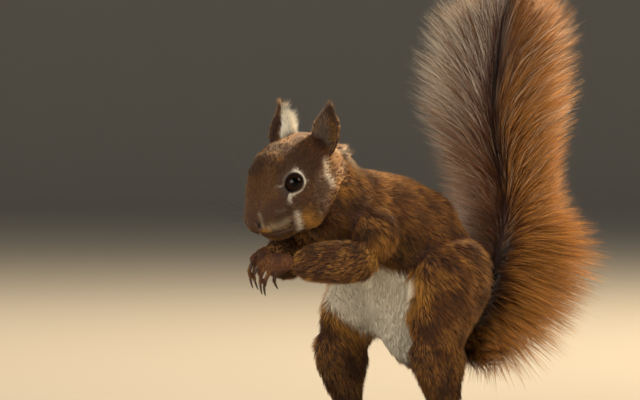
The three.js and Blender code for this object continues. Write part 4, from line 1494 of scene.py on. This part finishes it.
def make_floor():
    """A wide pale floor that curves up into a wall all round."""
    body = bmesh.new()
    disc = bmesh.ops.create_circle(body, cap_ends=True, radius=SWEEP_FLOOR, segments=96)["verts"]
    edges = list({edge for vertex in disc for edge in vertex.link_edges})
    rims = [(SWEEP_FLOOR, 0.0)]
    for step in range(1, SWEEP_STEPS + 1):
        turn = math.pi / 2 * step / SWEEP_STEPS
        rims.append((SWEEP_FLOOR + SWEEP_CURVE * math.sin(turn), SWEEP_CURVE * (1 - math.cos(turn))))
    rims.append((SWEEP_FLOOR + SWEEP_CURVE, SWEEP_CURVE + SWEEP_WALL))
    for (radius, height), (wider, higher) in zip(rims[:-1], rims[1:]):
        edges, verts = extruded(body, edges)
        bmesh.ops.scale(body, vec=(wider / radius, wider / radius, 1), verts=verts)
        bmesh.ops.translate(body, vec=(0, 0, higher - height), verts=verts)
    bmesh.ops.recalc_face_normals(body, faces=body.faces)
    bmesh.ops.reverse_faces(body, faces=body.faces)
    mesh = mesh_from(body, "floor")
    mesh.shade_smooth()
    mesh.materials.append(stage_material())
    add_to_scene("floor", mesh)


def make_surroundings():
    """An even pale light from all round."""
    world = bpy.data.worlds.new("studio")
    bpy.context.scene.world = world
    world.use_nodes = True
    background = world.node_tree.nodes["Background"]
    background.inputs["Color"].default_value = linear("#dcd8d0")
    background.inputs["Strength"].default_value = 0.25


# ------------------------------------------------------------------ add-on


def length_setting(name, description, size, least, most):
    """A length, given in millimetres."""
    return FloatProperty(
        name=name, description=description,
        default=size * MM, min=least * MM, max=most * MM, unit="LENGTH", precision=5,
    )


def share_setting(name, description, share, least, most):
    """A number that others are multiplied by."""
    return FloatProperty(name=name, description=description, default=share, min=least, max=most)


def colour_setting(name, description, hex_colour):
    """A colour."""
    return FloatVectorProperty(
        name=name, description=description,
        default=linear(hex_colour), subtype="COLOR", size=4, min=0.0, max=1.0,
    )


class SquirrelCoatSettings(PropertyGroup):
    """Sizes and colours of the skin, coat, tail and whiskers."""

    skin_grain: length_setting(
        "Skin grain", "Size of the skin's faces before they are thinned out", 0.45, 0.3, 2,
    )
    density: share_setting("Density", "Share of the tufts grown", 1.0, 0.05, 1.5)
    length: share_setting("Length", "Length of the body's hair", 1.0, 0.3, 2.0)
    seed: IntProperty(name="Seed", description="Sets which of many like coats is made", default=7, min=0)
    tail_hair_width: length_setting("Tail hair", "Width of the tail's hairs", 0.36, 0.1, 1)
    whisker_width: length_setting("Whisker", "Width of a whisker at its root", 0.17, 0.1, 0.5)
    whisker_length: share_setting("Whisker length", "Share of the whiskers' full length", 0.93, 0.2, 1.0)
    chestnut_colour: colour_setting("Back", "Hair of the back and sides", "#5a2a0b")
    rust_colour: colour_setting("Legs", "Red-brown hair of the neck, arms and legs", "#3d1807")
    # Also the colour of the painted glints on the hair tips.
    golden_colour: colour_setting("Tips", "Tips of the hair of the back", "#d99f4c")
    olive_colour: colour_setting("Face", "Hair of the face", "#4d2c0f")
    # Also the painted light on the elbow, the ears' outer edges and the nape.
    buff_colour: colour_setting("Edges", "Hair beside the white, and of the throat", "#b8812f")
    # Also painted light: the eye ring's bright rear, the nape's outline and the glow of the far ear's fluff.
    cream_colour: colour_setting("Belly", "Hair of the belly and of the ring round the eye", "#fff7e4")
    pale_colour: colour_setting("Muzzle", "Greyish hair of the muzzle", "#a8977a")
    # Also the painted shade in the hollow between the upper arm and the chest.
    dusk_colour: colour_setting("Dark", "Darkest hair of the face and ears", "#1d0f08")
    tail_colour: colour_setting("Tail", "Hair of the tail", "#4c1f08")
    # Also the painted side light on the tail's left.
    tail_tip_colour: colour_setting("Tail tips", "Golden tips of the tail's hair", "#e39a3a")
    # Pale tips of the tail's hair, laid on as painted glints.
    silver_colour: colour_setting("Tail wisps", "Pale tips of some of the tail's hair", "#fbf1de")


class OBJECT_OT_squirrel_skin(Operator):
    """Join the flesh into one skin and shape the face"""

    bl_idname = "object.squirrel_skin"
    bl_label = "Skin"

    def execute(self, context):
        skin = show("skin", make_skin(), material_named("skin_with_underfur", skin_material))
        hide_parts(*FLESH)
        return {"FINISHED"}


class OBJECT_OT_squirrel_eyes(Operator):
    """Set the eyeballs between their lids"""

    bl_idname = "object.squirrel_eyes"
    bl_label = "Eyes"

    def execute(self, context):
        for side in SIDES:
            make_eye(side)
        return {"FINISHED"}


class OBJECT_OT_squirrel_claws(Operator):
    """Round the claws of the hands and feet"""

    bl_idname = "object.squirrel_claws"
    bl_label = "Claws"

    def execute(self, context):
        for limb in ("fore", "hind"):
            for side in SIDES:
                make_claws(limb, side)
        return {"FINISHED"}


class OBJECT_OT_squirrel_coat(Operator):
    """Grow the coat of the head, body and legs"""

    bl_idname = "object.squirrel_coat"
    bl_label = "Coat"

    def execute(self, context):
        for seed, (name, parts) in enumerate(COAT_PIECES.items()):
            make_coat(name, parts, seed)
        return {"FINISHED"}


class OBJECT_OT_squirrel_tail(Operator):
    """Grow the long hair of the tail"""

    bl_idname = "object.squirrel_tail"
    bl_label = "Tail"

    def execute(self, context):
        for seed, (node, (start, end, hairs)) in enumerate(TAIL_LENGTHS.items(), TAIL_SEED):
            piece = make_tail_hair(node + "_hair", start, end, hairs, seed)
            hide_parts(node)
        return {"FINISHED"}


class OBJECT_OT_squirrel_whiskers(Operator):
    """Set the whiskers in the muzzle and over the eyes"""

    bl_idname = "object.squirrel_whiskers"
    bl_label = "Whiskers"

    def execute(self, context):
        make_whiskers()
        return {"FINISHED"}


class OBJECT_OT_squirrel_stage(Operator):
    """Set up the floor, lamps and camera"""

    bl_idname = "object.squirrel_stage"
    bl_label = "Stage"

    def execute(self, context):
        make_floor()
        make_surroundings()
        make_lamps()
        make_camera()
        context.scene.view_settings.view_transform = "Standard"
        return {"FINISHED"}


OPERATORS = (
    OBJECT_OT_squirrel_stage,
    OBJECT_OT_squirrel_skin,
    OBJECT_OT_squirrel_eyes,
    OBJECT_OT_squirrel_claws,
    OBJECT_OT_squirrel_coat,
    OBJECT_OT_squirrel_tail,
    OBJECT_OT_squirrel_whiskers,
)


class VIEW3D_PT_squirrel(Panel):
    """Lists the pieces in the order in which they are made"""

    bl_idname = "VIEW3D_PT_squirrel"
    bl_label = "Red Squirrel"
    bl_space_type = "VIEW_3D"
    bl_region_type = "UI"
    bl_category = "Squirrel"

    def draw(self, context):
        settings = context.scene.squirrel_coat
        for name in SquirrelCoatSettings.__annotations__:
            self.layout.prop(settings, name)
        for operator in OPERATORS:
            self.layout.operator(operator.bl_idname)


CLASSES = (SquirrelCoatSettings, *OPERATORS, VIEW3D_PT_squirrel)


def register():
    for one in CLASSES:
        bpy.utils.register_class(one)
    bpy.types.Scene.squirrel_coat = PointerProperty(type=SquirrelCoatSettings)


def unregister():
    del bpy.types.Scene.squirrel_coat
    for one in reversed(CLASSES):
        bpy.utils.unregister_class(one)


def main():
    """Registers the add-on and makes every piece."""
    register()
    for operator in OPERATORS:
        group, name = operator.bl_idname.split(".")
        getattr(getattr(bpy.ops, group), name)()


if __name__ == "__main__":
    main()
